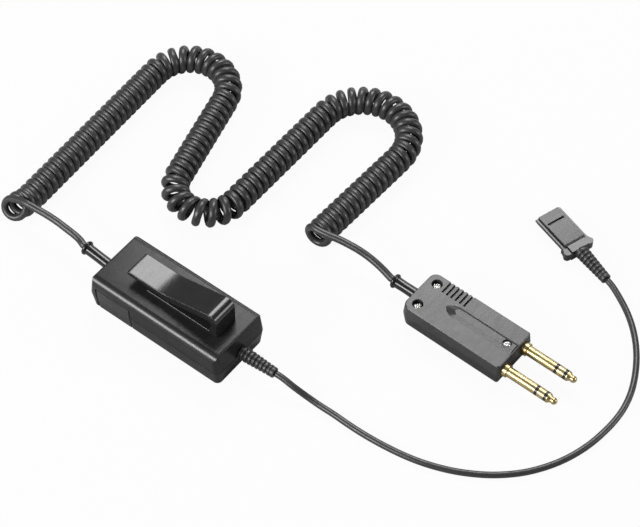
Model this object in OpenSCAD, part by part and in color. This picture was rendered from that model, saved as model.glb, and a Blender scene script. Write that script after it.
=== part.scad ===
// In-line headset amplifier lead: a small amplifier case with a belt clip, a curly
// cord to a twin-prong plug, and a thin straight cord to a quick-release connector.
// Millimetres, +Z up. The origin is the middle of the case's underside, and +X runs
// along the case towards the end where the thin cord leaves.

/* [Amplifier case] */
// Length of the case
case_l = 81.4; // [78:0.2:96]
// Width of the case
case_w = 35.8; // [34:0.2:42]
// Height of the case
case_h = 21.3; // [20:0.1:28]
// Height of the seam between the two covers
seam_h = 10; // [9:0.5:12]
// Wall thickness of both covers
case_wall = 2.2; // [2:0.1:2.6]
// Radius of the upright corners
case_corner_r = 3.2; // [2.6:0.1:4]
// Radius of the two long top edges
long_edge_r = 4.5; // [3:0.1:5.5]
// Radius of the two short top edges
end_edge_r = 1.3; // [0.6:0.1:2]
// How far each end of the top cover leans in, from the seam to the top
top_lean = 1.7; // [0.5:0.1:2.4]
// How far the bottom cover draws in, from the seam to the underside
case_draft = 1.15; // [0.4:0.05:1.8]
// Width of the shadow line at the seam
seam_gap = 0.35; // [0.2:0.05:0.6]
// Diameter of the screw posts
post_d = 5; // [4.4:0.2:5.6]

/* [Access door] */
// Length of the door
door_l = 20.5; // [16:0.5:23]
// Height of the door's top edge
door_top = 15.1; // [14:0.1:16]
// Thickness of the door's face
door_t = 1.2; // [1:0.1:1.4]
// Gap round the door
door_gap = 0.7; // [0.3:0.05:0.8]
// Width of the ledge that the door closes on
door_ledge = 2; // [1.6:0.1:2.6]

/* [Belt clip] */
// Width of the clip
clip_w = 14; // [10:0.5:18]
// Thickness of the leaf that lies on the case
leaf_t = 2; // [1.6:0.1:2.6]
// Length of the leaf, measured from the clip's end wall
leaf_l = 44; // [38:1:50]
// Thickness of the arm at its free end
arm_tip_t = 2.6; // [2:0.1:3.2]
// Thickness of the arm's sloping part
arm_t = 4.6; // [4:0.1:5.2]
// Length of the arm's flat free part
arm_flat_l = 22; // [16:1:26]
// Length of the arm's sloping part
arm_slope_l = 26; // [22:1:30]
// Slope of the arm, in degrees
arm_slope = 14; // [11:0.5:16]
// Gap between arm and leaf where they come closest
pinch_gap = 1.3; // [0.8:0.1:2]
// Thickness of the clip's end wall
clip_end_t = 4; // [3.6:0.1:5]
// Widest opening angle of the arm
clip_open = 8; // [4:0.5:10]

/* [Circuit board] */
// Thickness of the board
board_t = 1.6; // [1:0.1:2]
// Height of the board's underside
board_z = 5; // [4.4:0.1:5.4]
// Diameter of the capacitors
cap_d = 6.3; // [5:0.1:7]
// Height of the capacitors
cap_h = 10.5; // [7:0.5:11.5]
// Length of the transformer's core
core_l = 17; // [14:0.5:18]
// Width of each gain trimmer
trimmer_w = 6.6; // [5.6:0.2:7.2]

/* [Twin plug] */
// Length of the plug's body
plug_l = 58.9; // [56:0.1:70]
// Width of the plug's body
plug_w = 27; // [25.5:0.5:32]
// Thickness of the plug's body
plug_h = 13.4; // [12.6:0.2:16]
// Wall thickness of the plug's shells
plug_wall = 2.2; // [1.8:0.1:2.6]
// Distance between the two prongs
prong_spacing = 15.875; // [15.875]
// Diameter of a prong
prong_d = 5.23; // [5.23]
// Length of a prong's plain sleeve
sleeve_l = 16.2; // [14:0.2:20]
// Diameter of the collar at a prong's root
collar_d = 6.8; // [6.4:0.1:7.2]
// Length of the collar
collar_l = 2.2; // [1.6:0.1:4]
// Length of the middle contact
ring_l = 3.6; // [3.4:0.1:5]
// Length of each insulating ring
insulator_l = 1.6; // [0.8:0.1:2]
// Length of the tip contact
tip_l = 5; // [4.6:0.1:6.6]
// Number of grip grooves
groove_n = 6; // [3:1:7]
// Distance between grip grooves
groove_pitch = 2.62; // [2.3:0.02:2.8]
// Width of a grip groove
groove_w = 1.4; // [0.8:0.1:1.6]
// Width of the keel at its foot
keel_w = 7.2; // [6:0.2:8]
// Width of the keel's flat top
keel_top_w = 3.4; // [2:0.2:5]
// Height of the keel above the plug's top
keel_h = 1.7; // [1:0.1:2.2]
// Diameter of the screw recesses at the cord end
plug_recess_d = 5.6; // [5.2:0.1:6.2]

/* [Quick-release connector] */
// Length of the connector's body
quick_l = 28.4; // [27:0.2:38]
// Width of the connector's lower shell
quick_w = 15; // [14.4:0.2:18]
// Width of the connector's top plate
plate_w = 12.2; // [11:0.2:12.6]
// Height of the connector
quick_h = 7; // [6.8:0.1:9]
// How far the wings stand out at each side
wing_out = 1.3; // [0.8:0.1:2.2]
// Number of contact blades
blade_n = 4; // [3:1:5]

/* [Cords and strain reliefs] */
// Diameter of the curly cord and its leads
coil_cord_d = 3.8; // [3.8]
// Outer diameter of the curls
coil_d = 13.8; // [13.8]
// Diameter of the thin cord
line_cord_d = 3.2; // [3.2]
// Length of the case's smooth strain relief
case_relief_l = 18.4; // [18.4]
// Length of the plug's strain relief
plug_relief_l = 14.4; // [14.4]
// Diameter of the smooth strain reliefs
smooth_relief_d = 5.8; // [5.4:0.1:6.2]
// Length of the case's ribbed strain relief
line_relief_l = 19.5; // [19.5]
// Length of the connector's ribbed strain relief
quick_relief_l = 20.5; // [20.5]
// Diameter of a ribbed strain relief at its root
rib_root_d = 7.4; // [6.8:0.1:8]
// Diameter of a ribbed strain relief at its tip
rib_tip_d = 5.4; // [5:0.1:6]
// Number of ribs
rib_n = 8; // [5:1:9]
// Depth of the grooves between the ribs
rib_depth = 0.8; // [0.4:0.1:1]

/* [Hidden] */
$fn = 48;
eps = 0.01;          // how far pieces of one solid run into each other
cut = 1;             // how far cutters run past a face
fit_gap = 0.1;       // between pieces that are seated in each other
thread_gap = 0.03;   // between a screw and its pilot hole
head_gap = 0.2;      // round a screw's head or shank in a clearance hole
body_gap = 0.15;     // between pieces that move against each other

// ---------------------------------------------------------------- general shapes
// Flat outlines made of squares and circles keep true arcs.
module rounded_rect(l, w, r) {
    square([l - 2 * r, w], center = true);
    square([l, w - 2 * r], center = true);
    for (x = [-1, 1], y = [-1, 1]) translate([x * (l / 2 - r), y * (w / 2 - r)]) circle(r);
}

// A section with two rounded top edges. Its width is w at the seam, and both sides lean
// in above that by slope.
module round_top_section(w, z0, z1, r, slope) {
    tilt = atan(slope);
    foot = w / 2 - slope * (z0 - seam_h);
    arc_x = w / 2 - slope * (z1 - r - seam_h) - r / cos(tilt);
    edge = [arc_x + r * cos(tilt), z1 - r + r * sin(tilt)];
    for (s = [-1, 1]) translate([s * arc_x, z1 - r]) circle(r);
    polygon([[-foot, z0], [foot, z0], edge, [arc_x, z1], [-arc_x, z1], [-edge[0], edge[1]]]);
}

// Extrudes an outline drawn in (Y, Z) along X, or one drawn in (X, Z) along Y.
module along_x(l) { rotate([90, 0, 90]) linear_extrude(l, center = true) children(); }
module along_y(l) { rotate([90, 0, 0]) linear_extrude(l, center = true) children(); }

module rod_x(d, x0, x1) { translate([x0, 0, 0]) rotate([0, 90, 0]) cylinder(d = d, h = x1 - x0); }

module tube_x(d_out, d_in, x0, x1) {
    difference() {
        rod_x(d_out, x0, x1);
        rod_x(d_in, x0 - cut, x1 + cut);
    }
}

// A pan-head screw with a cross recess. Its head bears on z = 0 and points up.
module pan_screw(head_d, head_h, shank_d, shank_l) {
    slot_w = head_d * 0.14;
    slot_l = head_d * 0.6;
    difference() {
        union() {
            intersection() {
                cylinder(d = head_d, h = head_h);
                translate([0, 0, head_h - head_d]) sphere(head_d, $fn = 64);
            }
            translate([0, 0, -shank_l]) cylinder(d = shank_d, h = shank_l + eps);
        }
        for (a = [0, 90]) rotate(a)
            translate([-slot_l / 2, -slot_w / 2, head_h / 2]) cube([slot_l, slot_w, head_h]);
    }
}

// ---------------------------------------------------------------- swept tubes
function unit(v) = v / norm(v);
function ring_points(centre, side, up, r, n) =
    [for (i = [0 : n - 1]) centre + r * (side * cos(i * 360 / n) + up * sin(i * 360 / n))];

// Triangles that join rings of n points each, with a fan over both ends.
function tube_faces(rings, n) = concat(
    [for (k = [0 : rings - 2], i = [0 : n - 1])
        [k * n + i, k * n + (i + 1) % n, (k + 1) * n + i]],
    [for (k = [0 : rings - 2], i = [0 : n - 1])
        [(k + 1) * n + i, k * n + (i + 1) % n, (k + 1) * n + (i + 1) % n]],
    [for (i = [1 : n - 2]) [0, i + 1, i]],
    [for (i = [1 : n - 2]) [(rings - 1) * n, (rings - 1) * n + i, (rings - 1) * n + i + 1]]);

// Direction of a route at point i: between its neighbours, or along its end piece.
function route_dir(p, i) = unit(p[min(i + 1, len(p) - 1)] - p[max(i - 1, 0)]);

module route_tube(p, d, n) {
    points = [for (i = [0 : len(p) - 1])
        let (t = route_dir(p, i), side = unit(cross([0, 0, 1], t)), up = cross(t, side))
        each ring_points(p[i], side, up, d / 2, n)];
    polyhedron(points = points, faces = tube_faces(len(p), n));
}

// ---------------------------------------------------------------- strain reliefs
// A relief starts on the outer face of its wall, at x = 0, and points along +X.
// Its neck fills the hole in the wall, and a flange behind the wall holds it.
neck_d = 6.4;
flange_d = 9.4;
flange_t = 1.8;
lip_l = 1.4;
lip_out = 0.7;

module relief_anchor(wall) {
    rod_x(neck_d, -wall - fit_gap - eps, eps);
    rod_x(flange_d, -wall - fit_gap - flange_t, -wall - fit_gap);
}

// The room that a relief takes in a wall, with the seat for its flange.
module relief_hole(wall, x_seat) {
    rod_x(neck_d + 2 * fit_gap, -wall - cut, cut);
    rod_x(flange_d + 2 * fit_gap, -x_seat, -wall);
}

module smooth_relief(l) {
    rod_x(smooth_relief_d, 0, l);
    rod_x(smooth_relief_d + 2 * lip_out, l - lip_l, l);
}

// A tapered core with rings that shrink towards the tip, and a plain cuff at the end.
module ribs(l) {
    cuff_l = l / (rib_n + 1);
    step = (l - cuff_l) / rib_n;
    rotate([0, 90, 0]) {
        cylinder(d1 = rib_root_d - 2 * rib_depth, d2 = rib_tip_d - 2 * rib_depth, h = l);
        for (i = [0 : rib_n - 1])
            translate([0, 0, step * (i + 0.35)])
                cylinder(d = rib_root_d + (rib_tip_d - rib_root_d) * i / rib_n, h = step * 0.6);
        translate([0, 0, l - cuff_l]) cylinder(d = rib_tip_d, h = cuff_l);
    }
}

// ---------------------------------------------------------------- amplifier case
inner_top = case_h - case_wall;
cord_z = seam_h;                         // both cords leave at the seam
lip_t = 0.9;                             // locating lip of the bottom cover
lip_h = 1.4;
post_x = case_l / 2 - case_wall - post_d / 2 - 0.8;
post_y = case_w / 2 - case_wall - post_d / 2 - 0.4;
door_setback = 2.1;                      // from the corner's rounding to the door
door_x0 = -case_l / 2 + case_corner_r + door_setback;
door_x = door_x0 + door_l / 2;
door_post_x = door_x0 + door_l + door_gap + post_d / 2 + 0.8;
posts = [[post_x, post_y], [-post_x, post_y], [post_x, -post_y], [door_post_x, -post_y]];
case_screw_d = 1.8;
case_head_d = 4;
case_head_h = 1.6;
case_screw_z = 3;                        // the screws' heads bear here, from below
screw_bite = 7;                          // how far a case screw reaches past the seam
base_edge_h = 0.7;                       // bevel round the underside
base_edge_in = 0.6;

lean_slope = top_lean / (case_h - seam_h);
lip_lean_gap = fit_gap + lean_slope * lip_h;    // the top cover's end walls lean over the lip

// How far the outside lies inside the seam's outline at height z.
function draft_in(z) = z >= seam_h ? 0 : case_draft * (seam_h - z) / seam_h;
function front_y(z) = -case_w / 2 + draft_in(z);

module case_slab(inset, z) {
    translate([0, 0, z]) linear_extrude(eps)
        rounded_rect(case_l - 2 * inset, case_w - 2 * inset, case_corner_r - inset * 0.4, $fn = 32);
}

module bottom_outside() {
    hull() {
        case_slab(case_draft + base_edge_in, 0);
        case_slab(draft_in(base_edge_h), base_edge_h);
        case_slab(0, seam_h - eps);
    }
}

module bottom_hollow() {
    hull() {
        case_slab(draft_in(case_wall) + case_wall, case_wall);
        case_slab(case_wall, seam_h);
    }
}

// A ring of wall that stands inside the case, between two heights. end_gap is its gap to
// the two end walls, and side_gap the one to the long walls.
module inside_ring(end_gap, side_gap, t, z0, z1) {
    l = case_l - 2 * (case_wall + end_gap);
    w = case_w - 2 * (case_wall + side_gap);
    translate([0, 0, z0]) linear_extrude(z1 - z0) difference() {
        rounded_rect(l, w, case_corner_r - case_wall);
        square([l - 2 * t, w - 2 * t], center = true);
    }
}

module top_block(inset, z0) {
    l = case_l - 2 * inset;
    w = case_w - 2 * inset;
    z1 = case_h - inset;
    intersection() {
        hull() for (z = [z0, z1 - eps]) translate([0, 0, z]) linear_extrude(eps)
            rounded_rect(l - 2 * lean_slope * (z - seam_h), w, max(case_corner_r - inset, 0.6), $fn = 32);
        along_x(l + 2 * cut) round_top_section(w, z0, z1, max(long_edge_r - inset, 0.4), 0);
        along_y(w + 2 * cut) round_top_section(l, z0, z1, max(end_edge_r - inset, 0.4), lean_slope);
    }
}

// The recess that the door fills, which follows the draft below the seam.
module door_recess() {
    seat = door_t + body_gap;
    far = -case_w / 2 - 2 * cut;
    translate([door_x, 0, 0]) along_x(door_l + 2 * door_gap)
        polygon([[far, -cut], [front_y(0) + seat, -cut], [front_y(0) + seat, 0],
                 [front_y(seam_h) + seat, seam_h], [front_y(seam_h) + seat, door_top + door_gap],
                 [far, door_top + door_gap]]);
}

// The hole behind the recess, and the same shape shrunk for what goes in it.
module door_hole(shrink) {
    l = door_l - 2 * (door_ledge + shrink);
    z0 = case_wall + door_ledge / 2 + shrink;
    z1 = door_top - door_ledge - shrink;
    translate([door_x - l / 2, -case_w / 2 - cut, z0]) cube([l, 2 * case_wall + 2 * cut, z1 - z0]);
}

// Layer of the door between two depths behind the case's front face.
module door_layer(l, z0, z1, depth0, depth1) {
    translate([door_x, 0, 0]) along_x(l)
        polygon([[front_y(z0) + depth0, z0], [front_y(z0) + depth1, z0],
                 [front_y(seam_h) + depth1, seam_h], [front_y(seam_h) + depth1, z1],
                 [front_y(seam_h) + depth0, z1], [front_y(seam_h) + depth0, seam_h]]);
}

module at_both_reliefs() {
    for (a = [0, 180]) rotate(a) translate([case_l / 2, 0, cord_z]) children();
}

module case_bottom_cover() color([0.2, 0.2, 0.21]) {
    difference() {
        union() {
            difference() {
                bottom_outside();
                bottom_hollow();
            }
            inside_ring(0, 0, lip_t + lip_lean_gap, seam_h - 2, seam_h - 0.5);
            inside_ring(lip_lean_gap, fit_gap, lip_t, seam_h - 1, seam_h + lip_h);
            for (p = posts) translate([p[0], p[1], case_wall - cut]) {
                cylinder(d = post_d + 2, h = board_z - case_wall + cut);
                cylinder(d = post_d, h = seam_h - case_wall + cut);
            }
        }
        for (p = posts) translate([p[0], p[1], 0]) {
            translate([0, 0, -cut]) cylinder(d = case_head_d + 2 * head_gap, h = case_screw_z + cut);
            cylinder(d = case_screw_d + 2 * head_gap, h = seam_h + cut);
            translate([0, 0, seam_h]) cylinder(d = post_d + 4 * fit_gap, h = lip_h + cut);
        }
        door_recess();
        door_hole(0);
        at_both_reliefs() relief_hole(case_wall, case_wall + 3);
    }
}

module case_top_cover() color([0.3, 0.3, 0.31]) {
    difference() {
        union() {
            difference() {
                top_block(0, seam_h + seam_gap);
                top_block(case_wall, seam_h - cut);
            }
            for (p = posts) translate([p[0], p[1], seam_h])
                cylinder(d = post_d, h = inner_top - seam_h + cut);
        }
        for (p = posts) translate([p[0], p[1], seam_h - cut])
            cylinder(d = case_screw_d + 2 * thread_gap, h = screw_bite + 2 * cut);
        door_recess();
        door_hole(0);
        at_both_reliefs() relief_hole(case_wall, case_wall + 3);
        at_clip_screws() translate([0, 0, -case_wall - cut])
            cylinder(d = clip_screw_d + 2 * head_gap, h = case_wall + 2 * cut);
        translate([clip_peg_x, 0, inner_top - cut])
            cylinder(d = clip_peg_d + 2 * fit_gap, h = case_wall + 2 * cut);
    }
}

module access_door() color([0.24, 0.24, 0.25]) {
    foot = 0.4;
    rim_t = 1;
    door_layer(door_l, foot, door_top, 0, door_t);
    // a springy rim that plugs into the hole and holds the door by friction
    difference() {
        intersection() {
            door_hole(body_gap);
            door_layer(door_l, foot, door_top, door_t - eps, case_wall);
        }
        translate([0, door_t, 0]) door_hole(body_gap + rim_t);
    }
}

module case_screws() color([0.62, 0.62, 0.64]) {
    for (p = posts) translate([p[0], p[1], case_screw_z]) mirror([0, 0, 1])
        pan_screw(case_head_d, case_head_h, case_screw_d, seam_h + screw_bite - case_screw_z);
}

// ---------------------------------------------------------------- belt clip
// Drawn from the side, in (X, Z). The arm bends where it leaves the fold.
clip_right = case_l / 2 - 9;             // outer face of the end wall
clip_left = clip_right - leaf_l;
leaf_top = case_h + leaf_t;
end_wall_x = clip_right - clip_end_t;    // inner face of the end wall
pinch_x = end_wall_x - arm_slope_l - 0.6;
pinch_z = leaf_top + pinch_gap;
arm_height = arm_t / cos(arm_slope);     // upright thickness of the sloping part
arm_flat_top = pinch_z + arm_height - 0.8;
arm_bend_x = pinch_x - 3;                // the top face starts to rise here
arm_left = arm_bend_x - arm_flat_l;
pivot_x = end_wall_x - 3.6;
pivot_z = under_z(pivot_x) + arm_height / 2;
hinge_r = arm_t / 3;
hinge_gap = 0.06;
clip_screw_d = 2;
clip_screw_x = clip_right - clip_end_t / 2 - 0.1;
clip_screw_y = clip_w / 4;
clip_screw_l = 5;                        // how far the screws reach into the clip
clip_head_d = 3.8;
clip_head_h = 1.4;
clip_peg_d = 3;
clip_peg_x = clip_left + 5;

function under_z(x) = pinch_z + (x - pinch_x) * tan(arm_slope);     // sloping underside
function over_z(x) = under_z(x) + arm_height;                      // sloping top face
function arc_points(c, r, a0, a1, n) =
    [for (i = [0 : n]) let (a = a0 + (a1 - a0) * i / n) c + r * [cos(a), sin(a)]];

module clip_base_outline() {
    bow_r = 2.6;                         // round end of the clip's opening
    bow = [end_wall_x + 0.4 - bow_r, under_z(pivot_x) - bow_r + 0.6];
    crease_x = clip_right - 5.6;
    corner_r = 1.8;
    corner = [clip_right - corner_r, over_z(crease_x) - 3.2];
    chamfer = 0.8;
    polygon(concat(
        [[clip_right, case_h]],
        arc_points(corner, corner_r, 0, 68, 6),
        arc_points([crease_x + 0.7, over_z(crease_x) - 2.4], 2.4, 70, 104, 5),
        [[pivot_x, over_z(pivot_x)], [pivot_x, under_z(pivot_x)]],
        arc_points(bow, bow_r, 80, -50, 10),
        [[end_wall_x - 1, leaf_top], [clip_left + chamfer, leaf_top],
         [clip_left, leaf_top - chamfer], [clip_left, case_h]]));
}

// Room for the arm's round root, open upwards by the arm's travel.
module hinge_room() {
    lean = clip_open + 2;
    translate([pivot_x, pivot_z]) {
        circle(hinge_r + hinge_gap);
        polygon([[0, 0], [arm_t * sin(lean), arm_t * cos(lean)], [-arm_t, arm_t], [-arm_t, 0]]);
    }
}

module clip_arm_outline() {
    root = pivot_x - hinge_gap;
    nose = 0.9;
    bulge_r = 6;
    polygon(concat(
        [[arm_left, arm_flat_top - nose], [arm_left, arm_flat_top - arm_tip_t + nose],
         [arm_left + nose, arm_flat_top - arm_tip_t]],
        arc_points([pinch_x - 2, pinch_z + bulge_r], bulge_r, 252, 270 + arm_slope, 6),
        [[root, under_z(root)], [root, over_z(root)]],
        arc_points([arm_bend_x + 1, arm_flat_top + 8], 8, 270 + arm_slope, 270, 4),
        [[arm_left + nose, arm_flat_top]]));
    translate([pivot_x, pivot_z]) circle(hinge_r);
}

module at_clip_screws() {
    for (s = [-1, 1]) translate([clip_screw_x, s * clip_screw_y, case_h]) children();
}

module clip_base() color([0.1, 0.1, 0.11]) {
    difference() {
        union() {
            along_y(clip_w) difference() {
                clip_base_outline();
                hinge_room();
            }
            translate([clip_peg_x, 0, inner_top + fit_gap]) cylinder(d = clip_peg_d, h = case_wall);
        }
        at_clip_screws() translate([0, 0, -cut])
            cylinder(d = clip_screw_d + 2 * thread_gap, h = clip_screw_l + 2 * cut);
    }
}

module clip_arm() color([0.12, 0.12, 0.13]) { along_y(clip_w) clip_arm_outline(); }

module clip_screws() color([0.6, 0.6, 0.62]) {
    at_clip_screws() translate([0, 0, -case_wall]) mirror([0, 0, 1])
        pan_screw(clip_head_d, clip_head_h, clip_screw_d, case_wall + clip_screw_l);
}

// ---------------------------------------------------------------- circuit board
// Parts stand in a row from the left: header, chip, capacitors and transformer.
board_top = board_z + board_t;
board_edge = case_wall + draft_in(board_z) + 0.4;
board_l = case_l - 2 * board_edge;
board_w = case_w - 2 * board_edge;
board_corner_r = 3;
notch_l = 6;                             // cut-outs for the reliefs' flanges
header = [5, 10, 5.5];
header_x = board_l / 2 - notch_l - header[0] / 2 - 0.4;
part_gap = 0.6;
chip = [9, 4, 1.4];
chip_x = -header_x + header[0] / 2 + part_gap + chip[0] / 2;
cap_x0 = chip_x + chip[0] / 2 + part_gap + cap_d / 2;
cap_x1 = cap_x0 + cap_d + 2 * part_gap;
core_w = 14;
core_h = inner_top - board_top - 0.7;
core_leg = 2;                            // outer legs and yokes; the middle leg is double
core_window = (core_l - 4 * core_leg) / 2;
core_x = cap_x1 + cap_d / 2 + part_gap + core_l / 2;
winding_out = 2.5;                       // how far the winding stands out of the core
trimmer = [trimmer_w, 5, 7];
trimmer_face_y = -board_w / 2 + 1.4;
trimmer_z = board_top + trimmer[2] / 2;
rotor_d = 4;
rotor_l = 2.8;
rotor_out = 0.4;
rotor_gap = 0.05;
trimmer_xs = [door_x - trimmer_w / 2 - 0.3, door_x + trimmer_w / 2 + 0.3];

module circuit_board() color([0.05, 0.3, 0.16]) {
    difference() {
        translate([0, 0, board_z]) linear_extrude(board_t)
            rounded_rect(board_l, board_w, board_corner_r);
        for (p = posts) translate([p[0], p[1], board_z - cut])
            cylinder(d = post_d + 2 * fit_gap, h = board_t + 2 * cut);
        for (s = [-1, 1]) translate([s * board_l / 2, 0, board_z])
            cube([2 * notch_l, flange_d + 1, 4 * board_t], center = true);
    }
}

module transformer_core() color([0.25, 0.24, 0.24]) {
    translate([core_x, 0, board_top]) difference() {
        translate([-core_l / 2, -core_w / 2, 0]) cube([core_l, core_w, core_h]);
        for (s = [-1, 1])
            translate([s * (core_leg + core_window / 2) - core_window / 2, -core_w / 2 - cut, core_leg])
                cube([core_window, core_w + 2 * cut, core_h - 2 * core_leg]);
    }
}

module transformer_winding() color([0.72, 0.38, 0.16]) {
    x_in = core_leg + fit_gap;
    y_in = core_w / 2 + fit_gap;
    x_out = core_leg + core_window - fit_gap;
    translate([core_x, 0, board_top + core_leg + fit_gap])
        linear_extrude(core_h - 2 * core_leg - 2 * fit_gap) difference() {
            rounded_rect(2 * x_out, core_w + 2 * winding_out, 1.5);
            square([2 * x_in, 2 * y_in], center = true);
        }
}

module capacitors() color([0.14, 0.15, 0.3]) {
    for (p = [[cap_x0, 6], [cap_x1, 6], [cap_x1, -2]]) translate([p[0], p[1], board_top]) {
        cylinder(d = cap_d, h = cap_h);
        cylinder(d = cap_d + 0.3, h = 1.2);
    }
}

module amplifier_chip() color([0.08, 0.08, 0.09]) {
    pin_pitch = 1.27;
    translate([chip_x, 3, board_top]) {
        translate([-chip[0] / 2, -chip[1] / 2, 0.4]) cube(chip);
        for (i = [-3 : 3], s = [-1, 1]) translate([i * pin_pitch - 0.2, s * 2.4 - 0.6, 0])
            cube([0.4, 1.2, 0.9]);
    }
}

module wire_headers() color([0.85, 0.83, 0.75]) {
    for (s = [-1, 1]) translate([s * header_x, 0, board_top]) difference() {
        translate([-header[0] / 2, -header[1] / 2, 0]) cube(header);
        for (i = [-1.5 : 1.5]) translate([0, i * 2.5, 2]) cylinder(d = 1.2, h = header[2]);
    }
}

module trimmer_bodies() color([0.1, 0.25, 0.6]) {
    for (x = trimmer_xs) difference() {
        translate([x - trimmer[0] / 2, trimmer_face_y, board_top]) cube(trimmer);
        translate([x, trimmer_face_y - cut, trimmer_z]) rotate([-90, 0, 0])
            cylinder(d = rotor_d + 2 * rotor_gap, h = cut + rotor_l - rotor_out + rotor_gap);
    }
}

// A rotor with a screwdriver slot that faces the access door.
module trimmer_rotor(x) {
    slot_w = 0.7;
    slot_depth = 0.8;
    translate([x, trimmer_face_y - rotor_out, trimmer_z]) rotate([-90, 0, 0]) difference() {
        cylinder(d = rotor_d, h = rotor_l);
        translate([-rotor_d * 0.4, -slot_w / 2, -cut]) cube([rotor_d * 0.8, slot_w, cut + slot_depth]);
    }
}

module mic_gain_rotor() color([0.92, 0.9, 0.84]) { trimmer_rotor(trimmer_xs[0]); }
module ear_gain_rotor() color([0.92, 0.9, 0.84]) { trimmer_rotor(trimmer_xs[1]); }

// ---------------------------------------------------------------- case strain reliefs
line_relief_drop = 4;                    // degrees below the level
line_relief_yaw = 3;
case_relief_rise = 5;                    // the lead pulls this one up and aside
case_relief_yaw = 2;

module case_cord_relief() color([0.07, 0.07, 0.08]) {
    translate([-case_l / 2, 0, cord_z]) rotate(180) {
        relief_anchor(case_wall);
        rotate([0, -case_relief_rise, -case_relief_yaw]) smooth_relief(case_relief_l);
    }
}

module place_line_relief() {
    translate([case_l / 2, 0, cord_z]) rotate([0, line_relief_drop, line_relief_yaw]) children();
}

module line_cord_relief() color([0.16, 0.16, 0.17]) {
    translate([case_l / 2, 0, cord_z]) relief_anchor(case_wall);
    place_line_relief() ribs(line_relief_l);
}

// ---------------------------------------------------------------- twin plug
plug_at = [114.6, 79.3];                 // middle of the body on the surface it lies on
plug_yaw = -1.4;
split_z = plug_h / 2 + 0.5;              // the shells meet at the prongs' axis
plug_cord_r = 4;                         // plan corners at the cord end
plug_prong_r = 1.2;                      // and at the prong end
plug_top_draft = 0.45;                   // how far the sides draw in towards the top
plug_base_draft = 0.7;                   // and towards the underside
plug_edge = 0.4;                         // bevel round the top and the underside
plug_post_d = 7;
plug_screw_d = 2;
plug_head_d = 4.4;
plug_head_h = 1.7;
plug_screw_x = -plug_l / 2 + 6.1;
plug_screw_y = plug_w / 2 - 5.85;
end_screw_x = plug_l / 2 - 5.2;
end_recess_d = 4.8;
recess_floor = plug_h - 3.2;             // the screws' heads bear here
seat_l = 11;                             // solid stretch that holds the prongs
keel_foot_x = plug_screw_x + plug_recess_d / 2 + 8.5;    // the keel's point, at its foot
keel_top_x = keel_foot_x + 5.6;                          // and at its top
keel_end_x = plug_l / 2 - plug_top_draft - plug_edge;
tang_d = 7.6;                            // flange that locks a prong in the shells
tang_l = 2.4;
tang_x = -6.4;

module place_plug() { translate([plug_at[0], plug_at[1], 0]) rotate(plug_yaw) children(); }

module plug_plan(inset) {
    l = plug_l - 2 * inset;
    w = plug_w - 2 * inset;
    translate([-l / 2 + plug_cord_r, -w / 2]) square([l - plug_cord_r - plug_prong_r, w]);
    translate([-l / 2, -w / 2 + plug_cord_r]) square([l / 2, w - 2 * plug_cord_r]);
    translate([0, -w / 2 + plug_prong_r]) square([l / 2, w - 2 * plug_prong_r]);
    for (s = [-1, 1]) {
        translate([-l / 2 + plug_cord_r, s * (w / 2 - plug_cord_r)]) circle(plug_cord_r);
        translate([l / 2 - plug_prong_r, s * (w / 2 - plug_prong_r)]) circle(plug_prong_r);
    }
}

module plug_slab(z, inset) { translate([0, 0, z]) linear_extrude(eps) plug_plan(inset, $fn = 32); }

module at_cord_end_screws() {
    for (s = [-1, 1]) translate([plug_screw_x, s * plug_screw_y, 0]) children();
}

module at_plug_screws() {
    at_cord_end_screws() children();
    translate([end_screw_x, 0, 0]) children();
}

module at_prongs() {
    for (s = [-1, 1]) translate([plug_l / 2, s * prong_spacing / 2, split_z]) children();
}

module plug_cavity() {
    translate([-plug_l / 2 + plug_wall, -plug_w / 2 + plug_wall, plug_wall])
        cube([plug_l - plug_wall - seat_l, plug_w - 2 * plug_wall, plug_h - 2 * plug_wall]);
}

module plug_bores() {
    at_prongs() {
        rod_x(collar_d + 2 * fit_gap, -seat_l - cut, cut);
        rod_x(tang_d + 2 * fit_gap, tang_x - fit_gap, tang_x + tang_l + fit_gap);
    }
    translate([-plug_l / 2, 0, split_z]) rotate(180) relief_hole(plug_wall, plug_wall + 2);
}

module plug_lower_shell() color([0.2, 0.2, 0.21]) place_plug() {
    difference() {
        union() {
            difference() {
                hull() {
                    plug_slab(0, plug_base_draft + plug_edge);
                    plug_slab(plug_edge, plug_base_draft);
                    plug_slab(split_z - eps, 0);
                }
                plug_cavity();
            }
            at_plug_screws() translate([0, 0, plug_wall - cut])
                cylinder(d = plug_post_d, h = split_z - plug_wall + cut);
        }
        at_plug_screws() translate([0, 0, plug_wall]) cylinder(d = plug_screw_d + 2 * thread_gap, h = plug_h);
        plug_bores();
    }
}

// The keel makes the plug fit one way round only. It runs out to the prong end, and at
// the other end two arcs meet in its point.
module keel_plan(w, x, point_l) {
    half = w / 2;
    point_r = (point_l * point_l + half * half) / w;
    translate([x + point_l, -half]) square([keel_end_x - x - point_l, w]);
    intersection() {
        translate([x + point_l, half - point_r]) circle(point_r, $fn = 96);
        translate([x + point_l, point_r - half]) circle(point_r, $fn = 96);
        translate([x - cut, -half]) square([point_l + cut + eps, w]);
    }
}

module keel() {
    hull() {
        translate([0, 0, plug_h - plug_edge]) linear_extrude(plug_edge) keel_plan(keel_w, keel_foot_x, 6.5);
        translate([0, 0, plug_h + keel_h - eps]) linear_extrude(eps) keel_plan(keel_top_w, keel_top_x, 2.5);
    }
}

module grip_grooves() {
    x0 = plug_screw_x + plug_recess_d / 2 + 2.25;
    groove_l = plug_w / 2 - plug_screw_y + plug_recess_d / 2 - 0.4;
    groove_depth = 1.2;
    for (i = [0 : groove_n - 1])
        translate([x0 + i * groove_pitch - groove_w / 2, plug_w / 2 - groove_l, plug_h - groove_depth])
            cube([groove_w, groove_l + cut, groove_depth + cut]);
}

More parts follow.
